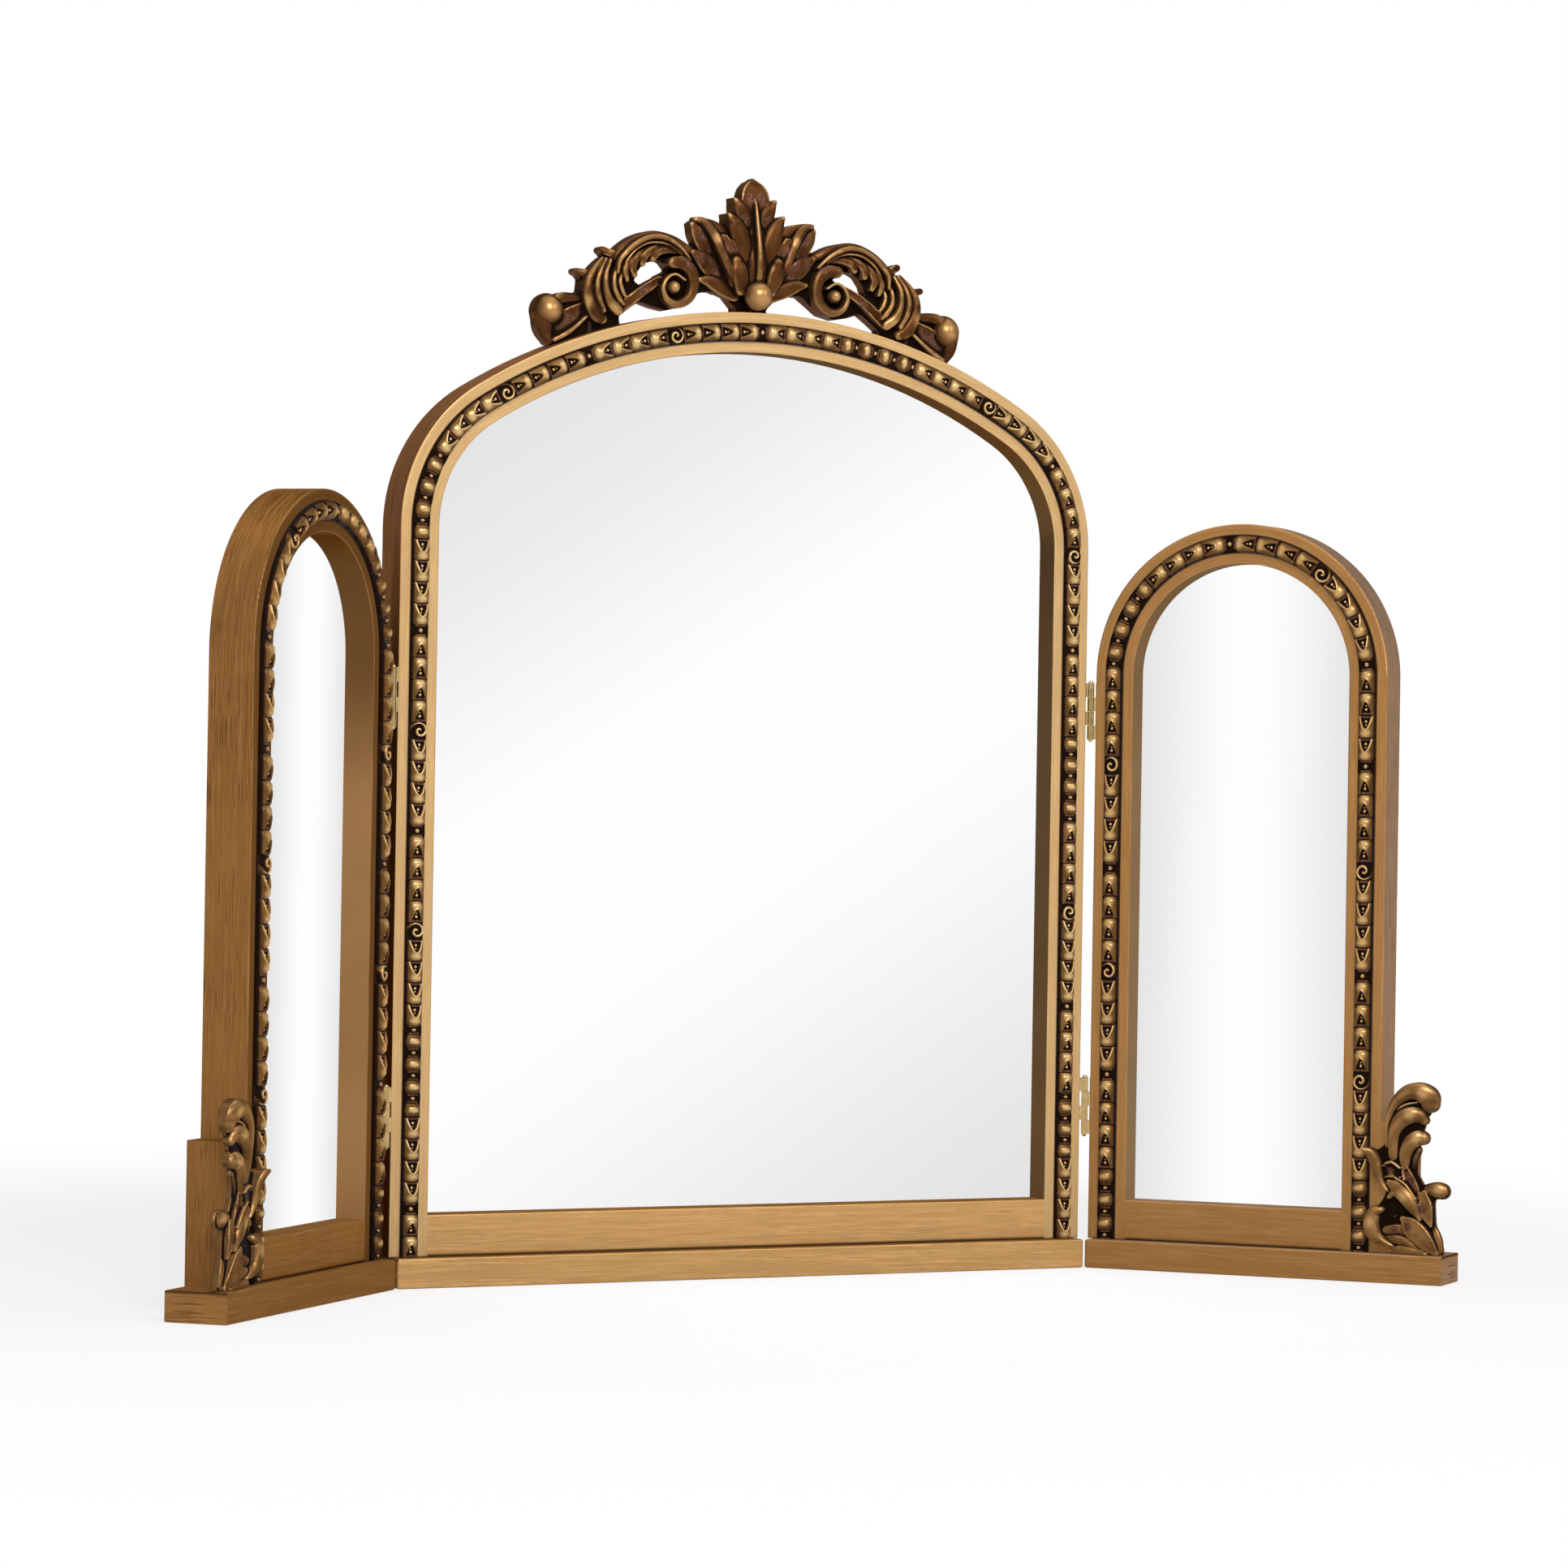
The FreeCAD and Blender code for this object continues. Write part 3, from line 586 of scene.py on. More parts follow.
def rib(points, back, crown, hollow=0.0):
    """A carved leaf or scroll along a smooth line of (x, z, y, half width), walled back to a depth.

    The front falls away by crown at the edges and is dished by hollow."""
    x, z, y, w = smooth_line(points).T
    w = np.maximum(w, THINNEST)
    tx, tz = np.gradient(x), np.gradient(z)
    size = np.hypot(tx, tz)
    rows = list(zip(x, z, y, w, tx / size, tz / size))
    for end, way in ((0, -1), (-1, 1)):
        x0, z0, y0, w0, u, v = rows[end]
        caps = []
        for turn in END_TURNS:
            reach = way * w0 * math.sin(turn)
            drop = crown * (1 - math.cos(turn))
            caps.append((x0 + u * reach, z0 + v * reach, y0 + drop, w0 * math.cos(turn), u, v))
        rows = caps[::-1] + rows if way < 0 else rows + caps
    rings = []
    fall = crown * (1 - np.sqrt(1 - 0.98 * FRONT ** 2))
    dish = hollow * (1 - np.abs(FRONT) ** 3)
    for x0, z0, y0, w0, u, v in rows:
        front = y0 + fall * min(1.0, w0 / crown) + dish * min(1.0, w0 / 2.5)
        depth = np.append(front, (back, back))
        across = np.append(w0 * FRONT, (w0, -w0))
        rings.append(np.stack([x0 - v * across, depth, z0 + u * across], 1))
    return tube(rings)


def blob(x, z, y, rx, rz, ry):
    """A rounded lump."""
    rings = []
    for lift in UPWARDS:
        c = math.cos(lift)
        height = np.full(len(AROUND), z + rz * math.sin(lift))
        rings.append(np.stack([x + rx * c * np.cos(AROUND), y + ry * c * np.sin(AROUND), height], 1))
    return tube(rings)


def plate(outlines, front, back):
    """A flat plate inside the first of some closed outlines in x and z; the others are its holes."""
    curve = bpy.data.curves.new("plate", "CURVE")
    curve.dimensions = "2D"
    curve.fill_mode = "BOTH"
    curve.extrude = (back - front) / 2
    for outline in outlines:
        spline = curve.splines.new("POLY")
        spline.points.add(len(outline) - 1)
        for point, (x, z) in zip(spline.points, outline):
            point.co = (x, z, 0, 1)
        spline.use_cyclic_u = True
    holder = bpy.data.objects.new("plate", curve)
    mesh = bpy.data.meshes.new_from_object(holder)
    points = np.array([v.co for v in mesh.vertices])
    faces = [tuple(face.vertices) for face in mesh.polygons]
    bpy.data.objects.remove(holder)
    bpy.data.curves.remove(curve)
    bpy.data.meshes.remove(mesh)
    return np.stack([points[:, 0], (front + back) / 2 - points[:, 2], points[:, 1]], 1), faces


def drawn_in(piece, margin):
    """A plate with its outline drawn in by a margin."""
    tiny = 1e-9
    points, faces = piece
    points, welded = np.unique(points.round(4), axis=0, return_inverse=True)
    faces = [tuple(welded.ravel()[list(face)]) for face in faces]
    lean = np.zeros_like(points)
    for face in faces:
        arms = points[list(face)] - points[list(face)].mean(0)
        square = np.cross(arms, np.roll(arms, -1, 0)).sum(0)
        lean[list(face)] += square / max(np.linalg.norm(square), tiny)
    lean[:, 1] = 0
    size = np.maximum(np.linalg.norm(lean, axis=1), tiny)
    return points - margin * lean / size[:, None], faces


def make_object(name, points, faces, panel, material, stands_for):
    """A gilt piece: from the panel's millimetres to the object's frame, riding on the panel's body."""
    if panel.side < 0:
        faces = [face[::-1] for face in faces]
    mesh = bpy.data.meshes.new(name)
    mesh.from_pydata(panel.to_object(points).tolist(), [], faces)
    mesh.polygons.foreach_set("use_smooth", [True] * len(mesh.polygons))
    mesh.materials.append(material)
    piece = bpy.data.objects.new(name, mesh)
    bpy.context.scene.collection.objects.link(piece)
    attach(piece, panel.word)
    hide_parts(stands_for)
    return piece


def clear_of_mirrors(piece):
    """Keeps a piece out of what the mirrors show, which is only the pale studio."""
    piece.visible_glossy = False


def paint(piece, name, values):
    """Stores a value for each point of a piece, for its finish."""
    layer = piece.data.attributes.new(name, "FLOAT", "POINT")
    layer.data.foreach_set("value", np.asarray(values, np.float32))


def hollows(points, edges, normals, rounds):
    """How far each point lies below the surface around it."""
    a, b = edges.T
    n = len(points)
    shares = np.maximum(np.bincount(a, minlength=n) + np.bincount(b, minlength=n), 1)
    soft = points.copy()
    for _ in range(rounds):
        sums = [np.bincount(a, soft[b, k], n) + np.bincount(b, soft[a, k], n) for k in range(3)]
        soft = 0.5 * soft + 0.5 * np.stack(sums, 1) / shares[:, None]
    return ((soft - points) * normals).sum(1)


# Fine creases and broad wells, dark with glaze and painted shade, their ridges rubbed bright as a
# painted highlight: rounds of softening, the depth that counts as full, the share of the whole, and how
# far a ridge counts
CREASES = [(16, 0.34, 0.75, 0.9), (150, 1.4, 1.0, 0.05)]
# How much the bright patches lift, as a painted highlight
HIGHLIGHT_SHARE = 0.6


def cast(piece, grain, panel, floor, rubbed, bright):
    """Runs a piece's overlapping parts together into one skin, as in a casting, and paints its relief.

    Glaze and painted shade lie in its hollows, and on what faces front below the floor's two depths;
    its ridges are rubbed bright as a painted highlight. Patches of (x, z, radius) are rubbed to the red
    ground, or bright as a painted highlight."""
    remesh = piece.modifiers.new("one_skin", "REMESH")
    remesh.mode = "VOXEL"
    remesh.voxel_size = grain * MM
    soften = piece.modifiers.new("soften", "SMOOTH")
    soften.factor = 0.5
    soften.iterations = 4
    shaped = bpy.data.meshes.new_from_object(piece.evaluated_get(bpy.context.evaluated_depsgraph_get()))
    piece.modifiers.clear()
    rough = piece.data
    piece.data = shaped
    bpy.data.meshes.remove(rough)
    shaped.name = piece.name
    shaped.polygons.foreach_set("use_smooth", [True] * len(shaped.polygons))
    n = len(shaped.vertices)
    points = np.zeros(n * 3)
    normals = np.zeros(n * 3)
    edges = np.zeros(len(shaped.edges) * 2, int)
    shaped.vertices.foreach_get("co", points)
    shaped.vertices.foreach_get("normal", normals)
    shaped.edges.foreach_get("vertices", edges)
    points, normals, edges = points.reshape(-1, 3), normals.reshape(-1, 3), edges.reshape(-1, 2)
    relief = np.zeros(n)
    for rounds, deep, share, ridge in CREASES:
        relief += share * np.clip(hollows(points / MM, edges, normals, rounds) / deep, -ridge, 1.0)
    x, y, z = panel.from_object(points).T
    ahead = normals @ -np.array(panel.matrix.col[1].xyz.normalized())
    # Glaze and painted shade on the deep ground that faces front
    relief += soft_step(y, *floor) * soft_step(ahead, 0.1, 0.6)

    def patches(places):
        reach = np.zeros(n)
        for px, pz, radius in places:
            reach = np.maximum(reach, np.exp(-((x - px) ** 2 + (z - pz) ** 2) / radius ** 2))
        return reach

    # The bright patches are a painted highlight
    paint(piece, "relief", np.clip(relief - HIGHLIGHT_SHARE * patches(bright), -1, 1))
    paint(piece, "blush", patches(rubbed))


def node_solid(name, panel):
    """A CAD node's points and faces in a panel's millimetres."""
    mesh = frame["nodes"][name].data
    points = np.array([v.co for v in mesh.vertices], float).reshape(-1, 3)
    faces = [tuple(face.vertices) for face in mesh.polygons]
    if panel.side < 0:
        faces = [face[::-1] for face in faces]
    return panel.from_object(points), faces


# Bead moulding

# Lengths of the motifs, in millimetres, and their order along each strip
HUSK, PEARL, SPACER, BEAD, SCROLL = 13.85, 7.2, 5.4, 9.3, 11.0
LENGTHS = {"<": HUSK, ">": HUSK, "P": PEARL, "p": SPACER, "B": BEAD, "S": SCROLL}
CENTRE_MOTIFS = (
    ">>P<<<<BpBpBpBp<<<<"
    + "S>>>>P<<<<S>>>>P<<<<BpBpBpBp<<<<" * 3
    + "S>>>>P<<<<pBpBpB>>>>"
)
WING_MOTIFS = (
    "pBpBpB>>>>P<<<<S>>>>P<<<<S>>>>pBpBpBpB>>>>P<<<<S>>>>P<<>>P<<<<S>>>>P<<<<S>>>>BpBpBp"
)
# Steps along and across a strip
BEAD_ROW, BEAD_COLUMN = 0.36, 0.33
# Heights in millimetres: the strip's edge, the floors of its recesses and notches, and its crown
EDGE_HEIGHT, FLOOR_HEIGHT, NOTCH_FLOOR, CROWN_HEIGHT = 0.8, 2.3, 3.4, 6.5
HALF = BEAD_WIDTH / 2
HUSK_HALF = 0.97
# A husk's notch: its half width at the open end and where its tip is, then its pearls' places and radii
NOTCH_HALF, NOTCH_TIP = 0.68, 0.40
HUSK_PEARLS = [(0.73, 0.95), (0.575, 0.6)]
SCROLL_RADIUS = 5.6


def round_off(t, half=HUSK_HALF):
    """A half-round section across the strip."""
    return np.sqrt(np.clip(1 - (t / half) ** 2, 0, 1))


def pearl_height(x, y, radius):
    """A half-round pearl about the middle, 0 outside it."""
    return np.sqrt(np.clip(radius ** 2 - x ** 2 - y ** 2, 0, None))


def husk(u, t, up):
    """A husk whose round end is at u = 0 and open end at u = 1, with two pearls in its notch.

    The notch and flanks are dark with glaze and painted shade; the crown, the pearls and the notch's
    rim carry painted highlights, the rim's brightest where its open end points up."""
    nose = np.clip(1 - u / 0.24, 0, 1)
    half = HUSK_HALF * np.sqrt(1 - 0.40 * nose ** 2)
    swell = np.sqrt(1 - 0.8 * nose ** 2) * (1 - 0.16 * np.clip((u - 0.5) / 0.5, 0, 1) ** 1.5)
    height = EDGE_HEIGHT + (CROWN_HEIGHT - EDGE_HEIGHT) * swell * round_off(t, half)
    notch = NOTCH_HALF * np.clip((u - NOTCH_TIP) / (1 - NOTCH_TIP), 0, 1) ** 0.55
    before_tip = np.hypot(t * HALF, (NOTCH_TIP - u) * HUSK)
    away = np.where(u < NOTCH_TIP, before_tip, (np.abs(t) - notch) * HALF * 0.85)
    inside = soft_step(-away, 0.0, 0.5)
    rim = np.exp(-((away - 0.5) / 0.55) ** 2)
    height = (height + 0.5 * rim) * (1 - inside) + NOTCH_FLOOR * inside
    pips = np.maximum(*(
        pearl_height((u - place) * HUSK, t * HALF, radius) for place, radius in HUSK_PEARLS
    ))
    on_pip = pips > 0.3
    height = np.where(pips > 0, np.maximum(height, NOTCH_FLOOR + 0.5 + pips), height)
    bar = soft_step(u, 0.85, 0.89) * (1 - soft_step(u, 0.965, 0.995)) * inside
    height = np.maximum(height, bar * (NOTCH_FLOOR + 1.2 - 4 * (np.abs(t) - 0.3) ** 2))
    # Glaze and painted shade in the notch and on the flanks, and dark joints at the ends
    dark = np.clip(inside - 0.55 * bar - 1.4 * on_pip, 0, 1)
    ends = 0.7 * (1 - soft_step(u, 0.0, 0.04)) + 0.7 * soft_step(u, 0.96, 0.99)
    flanks = 0.6 * soft_step(np.abs(t) / half, 0.66, 1.0)
    dark = np.maximum(np.maximum(dark, ends), flanks)
    # Painted highlights on the crown, on the notch's rim where its open end points up, and on the
    # pearls
    crown = (0.45 + 0.3 * np.exp(-((u - 0.22) / 0.16) ** 2)) * round_off(t, half) ** 2.5
    rim_shine = rim * (1 - inside) * (0.15 + 0.85 * soft_step(up, -0.2, 0.7))
    shine = np.clip(np.maximum(rim_shine, crown) + 0.7 * on_pip, 0, 1)
    return height, dark - shine * (1 - dark), bar


def pearl(u, t):
    """A pearl in a square recess, with a bar on each side."""
    pip = pearl_height((u - 0.5) * PEARL, t * HALF, 1.5)
    reach = np.minimum(u, 1 - u)
    bar = (1 - soft_step(reach, 0.10, 0.2)) * (np.abs(t) < 0.6)
    height = EDGE_HEIGHT + 0.6 + (FLOOR_HEIGHT - EDGE_HEIGHT - 0.6) * round_off(t) + 1.6 * bar
    height = np.where(pip > 0, np.maximum(height, FLOOR_HEIGHT + 0.5 + 1.1 * pip), height)
    # Glaze and painted shade in the recess, and a painted highlight on the pearl's top
    dark = np.clip(0.65 - 0.65 * bar, 0, 1) * (pip <= 0.4)
    return height, dark - 0.6 * (pip > 0.8), 0.8 * bar


def bead(u, t):
    """A plain round bead."""
    swell = np.sqrt(np.clip(1 - 0.93 * (2 * u - 1) ** 2, 0, 1))
    half = HUSK_HALF * (0.5 + 0.5 * swell)
    height = EDGE_HEIGHT + (CROWN_HEIGHT - EDGE_HEIGHT - 0.3) * swell * round_off(t, half)
    # Dark joints at the ends, glaze and painted shade on the flanks, and a painted highlight across the
    # middle
    ends = 0.7 * (1 - soft_step(np.minimum(u, 1 - u), 0.01, 0.12))
    flanks = 0.62 * soft_step(np.abs(t) / half, 0.6, 1.0)
    shine = 0.8 * np.exp(-((u - 0.5) / 0.25) ** 2) * round_off(t) ** 2.5
    return height, np.maximum(ends, flanks) - shine, np.zeros_like(u)


def scroll(u, t):
    """A ring curling inwards to its middle."""
    x, y = (u - 0.5) * SCROLL, t * HALF
    r = np.hypot(x, y)
    disc = soft_step(SCROLL_RADIUS - r, 0.0, 0.6)
    ridge = soft_step(np.cos(np.arctan2(y, x) - 1.5 * r + 1.4), 0.0, 0.8)
    height = EDGE_HEIGHT + disc * (2.4 + 0.8 * np.sqrt(np.clip(1 - (r / 6) ** 2, 0, 1)) + 1.8 * ridge)
    # Glaze and painted shade between the scroll's turns, and a painted highlight on its ridge
    dark = np.clip(1 - ridge, 0, 1) * disc + 0.5 * (1 - disc)
    return height, dark - ridge * disc, np.zeros_like(u)


MOTIFS = {"P": pearl, "p": pearl, "B": bead, "S": scroll}


def bead_moulding(panel, motifs, finish):
    """The strip of husks, pearls, beads and scrolls along a frame, as one continuous casting."""
    total = panel.along(BEAD_INSET)[0][-1]
    lengths = np.array([LENGTHS[m] for m in motifs])
    ends = np.concatenate([[0], np.cumsum(lengths)]) * total / lengths.sum()
    rows = int(total / BEAD_ROW)
    s = (np.arange(rows) + 0.5) * total / rows
    x, z, a = (each[:, None] for each in panel.run(s, BEAD_INSET))
    columns = int(BEAD_WIDTH / BEAD_COLUMN) + 1
    t = np.linspace(-1, 1, columns)
    height = np.zeros((rows, columns))
    relief = np.zeros_like(height)
    blush = np.zeros_like(height)
    for motif, low, high in zip(motifs, ends, ends[1:]):
        here = (s >= low) & (s < high)
        u, across = np.meshgrid((s[here] - low) / (high - low), t, indexing="ij")
        up = -np.sin(a[here])
        if motif == "<":
            shaped = husk(u, across, up)
        elif motif == ">":
            shaped = husk(1 - u, across, -up)
        else:
            shaped = MOTIFS[motif](u, across)
        height[here], relief[here], blush[here] = shaped
    # Glaze and painted shade along the strip's edges, where it meets the frame
    margin = soft_step(np.abs(t), 0.88, 0.97)
    relief = relief * (1 - margin) + np.maximum(relief, 0.4) * margin
    across = t * HALF
    top = np.stack([x + across * np.sin(a), -height, z + across * np.cos(a)], 2)
    foot = top[:, [-1, 0]] * (1, 0, 1)
    points, faces = tube(list(np.concatenate([top, foot], 1)))
    name, stands_for = f"{panel.word}_husk_moulding", f"{panel.word}_bead_moulding"
    piece = make_object(name, points, faces, panel, finish, stands_for)
    clear_of_mirrors(piece)
    # The foot takes full glaze and painted shade
    pad = np.ones((rows, 2))
    paint(piece, "relief", np.concatenate([relief, pad], 1).ravel())
    paint(piece, "blush", np.concatenate([blush, 0 * pad], 1).ravel())


# Crest. Lines are (x, z, y, half width): x from the middle, z above the table, y back from the front

CREST_BACK, CREST_FLOOR = 23.0, 13.5
# How far the ground under the carving is drawn in from its outline
EDGE_MARGIN = 1.2
# Size of the casting's grain, and the depths between which the glaze and painted shade set in
CREST_GRAIN, CREST_GLAZED = 0.55, (10.5, 13.0)
CREST_EDGE = [
    (0, 719.6), (4.5, 718), (8.4, 713.5), (10.4, 707), (10.6, 704), (15, 705.6), (16, 701), (15, 695.5),
    (20.3, 694.5), (21, 690.5), (20, 685), (30, 689.5), (40, 692), (44.5, 690), (45.3, 685),
    (43.5, 678), (41.5, 673.5), (50, 675), (60, 678), (70, 679.3), (78, 679), (88, 675.5), (96, 671),
    (101, 668), (107, 668.5), (110, 666), (107.5, 661), (113, 657), (119, 653.2), (125, 653.8),
    (128, 651.5), (124, 646.5), (124.5, 640), (131, 636), (143, 635.8), (150, 632), (152.3, 626),
    (150.5, 618), (146, 607), (144, 598.6), (120, 608.6), (93, 615.6), (94, 623.5), (88, 628),
    (81, 633), (72, 630), (62, 628.2), (51, 631), (43, 637), (36, 642), (28, 642.5), (19, 639.5),
    (13, 633), (13, 627.6), (0, 627.6),
]
# The volute's middle, and its (angle, radius, half width) stops
VOLUTE = (59, 644.5)
VOLUTE_TURNS = [
    (86, 16.0, 3.8), (108, 16.8, 4.2), (132, 16.4, 3.9), (156, 14.9, 3.5), (182, 13.4, 3.3),
    (210, 12.5, 3.1), (242, 11.6, 2.8), (272, 10.8, 2.5), (306, 9.8, 2.1), (346, 8.8, 1.7),
    (382, 8.1, 1.3), (420, 8.1, 1.0), (455, 8.3, 0.9), (505, 8.4, 0.8),
]
CREST_HOLE = [
    (61.5, 656), (66, 660.5), (72, 660.5), (78, 657.5), (82, 652), (83.5, 648), (79, 645.5),
    (72.5, 648.5), (68.5, 653),
]


def spiral(cx, cz, y, turns):
    """A volute's line from (angle, radius, half width) stops."""
    line = []
    for angle, radius, half in turns:
        q = math.radians(angle)
        line.append((cx + radius * math.cos(q), cz + radius * math.sin(q), y, half))
    return line


def crest_half():
    """The right half of the crest's leaves and scrolls."""
    parts = []

    def leaf(points, back, crown, hollow=0.0):
        parts.append(rib(points, back, crown, hollow))

    # Tall leaf: two lobes
    leaf([(4.2, 678, 8, 2.6), (6.8, 688, 6.2, 4.4), (9.2, 696, 5.4, 5.0), (12.2, 701.4, 5.8, 3.4),
          (15.0, 705.0, 7.4, 1.0)], 21, 3.0, 0.5)
    leaf([(6, 654, 5.4, 3.6), (8.8, 668, 3.0, 5.8), (12.0, 680, 2.2, 6.2), (15.8, 688.4, 2.8, 4.6),
          (20.0, 694.2, 5.0, 1.2)], 21, 3.4, 0.6)
    # Two small leaves at its foot
    leaf([(11.0, 645, 3.0, 3.6), (12.4, 652, 0.8, 5.2), (14, 658.6, 0.4, 5.2),
          (15.2, 663.4, 1.4, 3.6)], 14, 2.4, 0.4)
    leaf([(15, 650, 5, 3.6), (18, 661, 3.0, 5.4), (21, 671, 2.4, 5.8),
          (23.4, 677.5, 3.6, 3.6)], 16, 2.2, 2.0)
    # Side leaf: the broad bright band, three lobes and the far edge
    leaf([(43, 690, 8.5, 1.6), (36.5, 688, 6.8, 3.0), (30, 680, 4.6, 3.2), (25, 669, 3.2, 3.0),
          (19.5, 658, 2.8, 2.8), (12, 645, 3.5, 2.2)], 17, 2.4)
    leaf([(25, 660, 10, 4.4), (34, 672, 9, 6.0), (40.4, 681, 8.2, 5.0),
          (44.4, 686.6, 9, 2.0)], 21, 2.0, 0.8)
    leaf([(20, 648, 10, 4.4), (29, 657, 9, 6.2), (38, 664.5, 7.8, 5.0),
          (44.4, 668.6, 8.6, 1.9)], 21, 2.2, 0.8)
    leaf([(13, 641, 9.6, 3.4), (23, 646, 8.8, 4.6), (32, 649.8, 7.8, 3.8),
          (39, 650.8, 8.4, 1.6)], 18, 1.8, 0.5)
    leaf([(17, 678, 10, 4.0), (28, 685, 9.2, 4.6), (39, 689, 9.5, 3.0)], 22, 2.4)
    # Scroll over the volute: a sloping back, a bright ridge, and a thin line inside it
    leaf([(41, 667, 11, 2.6), (50, 671.5, 9, 3.0), (60, 675.5, 8, 3.4), (73, 677.5, 8, 3.4),
          (85, 674, 8, 3.4), (94, 668, 8, 3.4), (100, 662, 8.5, 3.0)], 22, 3.6)
    leaf([(47, 663, 7, 1.0), (53.5, 669.5, 5.2, 1.4), (60, 673.7, 4.2, 1.7), (67, 676.3, 3.8, 1.8),
          (74, 676.6, 3.8, 1.8), (81, 674.8, 3.8, 1.8), (88.5, 670.5, 3.8, 1.8), (94.5, 665, 4, 1.8),
          (98.5, 659.5, 4.6, 1.6), (99.5, 652, 6, 1.0)], 15, 1.7)
    leaf([(52, 665, 7.4, 0.7), (58, 669.4, 6.6, 0.8), (66, 672.6, 6, 0.8), (74, 673, 6, 0.8),
          (81, 671.2, 6, 0.8), (87.3, 667, 6, 0.8), (92, 661.5, 6.4, 0.8),
          (95.5, 655, 7, 0.7)], 15, 0.8)
    # Short flutes under the scroll
    leaf([(55, 667, 8.5, 1.0), (63, 668.4, 6.8, 2.0), (70.5, 666.8, 5.6, 2.5),
          (74, 662.4, 6.4, 2.0)], 20, 1.6, 0.6)
    leaf([(66, 670.4, 8, 1.0), (74, 668.8, 6.2, 2.0), (80, 664.2, 5.2, 2.5),
          (81.6, 658.6, 6.0, 2.0)], 20, 1.6, 0.6)
    leaf([(77, 669, 8, 1.0), (84.5, 664, 6.2, 2.0), (88.6, 657, 5.2, 2.5),
          (87, 651, 6.0, 1.9)], 20, 1.6, 0.6)
    leaf([(86, 665, 8, 0.9), (91.6, 659, 6.2, 1.6), (94, 653.5, 5.6, 1.9),
          (92.4, 647.5, 6.4, 1.4)], 20, 1.4, 0.4)
    # Volute, its eye, and the stem that leaves it
    leaf(spiral(*VOLUTE, 3.6, VOLUTE_TURNS), 17, 1.9)
    parts.append(blob(*VOLUTE, 9, 4.4, 4.4, 6.8))
    leaf([(68, 649.5, 8, 2.2), (76, 644.4, 6.3, 3.0), (84, 639, 5.8, 3.3), (91, 633.4, 6.2, 3.3),
          (97, 628, 7.5, 2.6)], 18, 1.0, 1.4)
    # Fluted leaf: five curved ridges and two curled tips
    leaf([(96, 651, 8, 1.0), (97.3, 646, 6.6, 1.4), (95.5, 640, 6.4, 1.5),
          (92, 635, 7.5, 1.1)], 15, 1.3)
    leaf([(100, 655, 7.5, 1.0), (102, 648, 5.6, 1.5), (101.5, 641, 5.2, 1.7), (98, 635, 5.6, 1.9),
          (95, 632, 6.6, 1.5)], 15, 1.6)
    leaf([(104, 660, 7.5, 1.1), (108, 651, 5, 1.7), (108, 641, 4.2, 2.2), (104.5, 632.5, 4.2, 3.2),
          (98.5, 627.5, 5.6, 3.4)], 15, 2.3)
    leaf([(107, 660.5, 8, 1.1), (112.5, 651, 5.4, 1.6), (114.3, 643, 4.6, 1.9), (113, 635, 4.6, 2.1),
          (109, 627, 5.8, 1.8)], 15, 1.9)
    leaf([(109, 660.5, 9, 1.4), (115, 654, 7, 2.0), (119.3, 647.5, 5.6, 2.6), (120.5, 640, 5, 3.2),
          (118.6, 632, 5, 4.0), (114, 624.5, 5.6, 4.6), (109, 621.5, 7, 3.4)], 20, 2.6)
    leaf([(97, 663.5, 8.5, 1.6), (103, 664.4, 8.5, 2.6), (108.3, 666.5, 11, 2.4)], 22, 1.6, 0.6)
    leaf([(113, 650, 9, 1.6), (119.5, 650.4, 9, 2.6), (126.3, 651.8, 11.5, 2.2)], 22, 1.6, 0.6)
    # Bulb end: the lump, its lip over a dark mouth, and the foot leaf inside
    parts.append(blob(145.6, 625.4, 17.5, 10.8, 11.4, 13.5))
    leaf([(121, 634, 12, 2.4), (130, 634.4, 11, 3.2), (138, 633.6, 9, 3.6),
          (144, 630, 7, 3.0)], 20, 2.2)
    leaf([(123, 627, 10.4, 4.5), (130, 621.6, 9.6, 7.0), (137, 615.6, 9.4, 7.2),
          (143, 609, 10.4, 3.5)], 17, 0.8, 1.0)
    leaf([(120, 622.5, 9.4, 1.1), (128, 615.6, 8.2, 1.3), (135, 610.6, 7.8, 1.5),
          (142.5, 606.6, 8.6, 1.4)], 17, 1.2)
    leaf([(148, 622, 8.5, 7.4), (148, 613.5, 9.6, 5.6), (145, 606, 11, 3.0)], 22, 4.0)
    return parts


# Patches of (x, z, radius): rubbed to the red ground, and rubbed bright as a painted highlight
CREST_RUBBED = [
    (-4, 706, 5), (4, 706, 5), (21, 670, 5), (38, 680, 6), (40, 664, 6), (133, 619, 8), (26, 655, 6),
    (80, 641, 6), (8, 692, 5), (50, 661, 5), (30, 664, 5),
]
CREST_HIGHLIGHTS = [
    (0, 641.3, 9), (59, 644.5, 3.5), (146, 627, 7), (29, 678, 3), (122, 632, 4), (101, 629, 4),
]
# The tall leaf's middle, its body, stem and hood, and the knob at its foot
LEAF_BODY = [
    (0, 646, 4, 5.0), (0, 657, 1.8, 6.4), (0, 671, 2.8, 7.0), (0, 685, 5.8, 6.4), (0, 697, 8.6, 4.6),
    (0, 706, 11, 2.0),
]
LEAF_STEM = [
    (0, 649, 0.5, 2.2), (0, 660, -1.6, 2.2), (0, 673, -0.6, 1.9), (0, 687, 2.6, 1.5),
    (0, 700, 6.0, 1.1), (0, 709, 8.6, 0.6),
]
LEAF_HOOD = [
    (0, 688, 5.4, 8.6), (0, 697, 5.2, 9.8), (0, 705.5, 5.8, 10.2), (0, 711.5, 6.8, 8.8),
    (0, 715.4, 8.0, 5.8), (0, 717.6, 9.4, 2.6), (0, 718.6, 10.6, 0.9),
]
KNOB = (0, 641.3)


def both_sides(places):
    """Places of (x, z, ...), and the same ones mirrored in x."""
    return places + [(-x, *rest) for x, *rest in places]


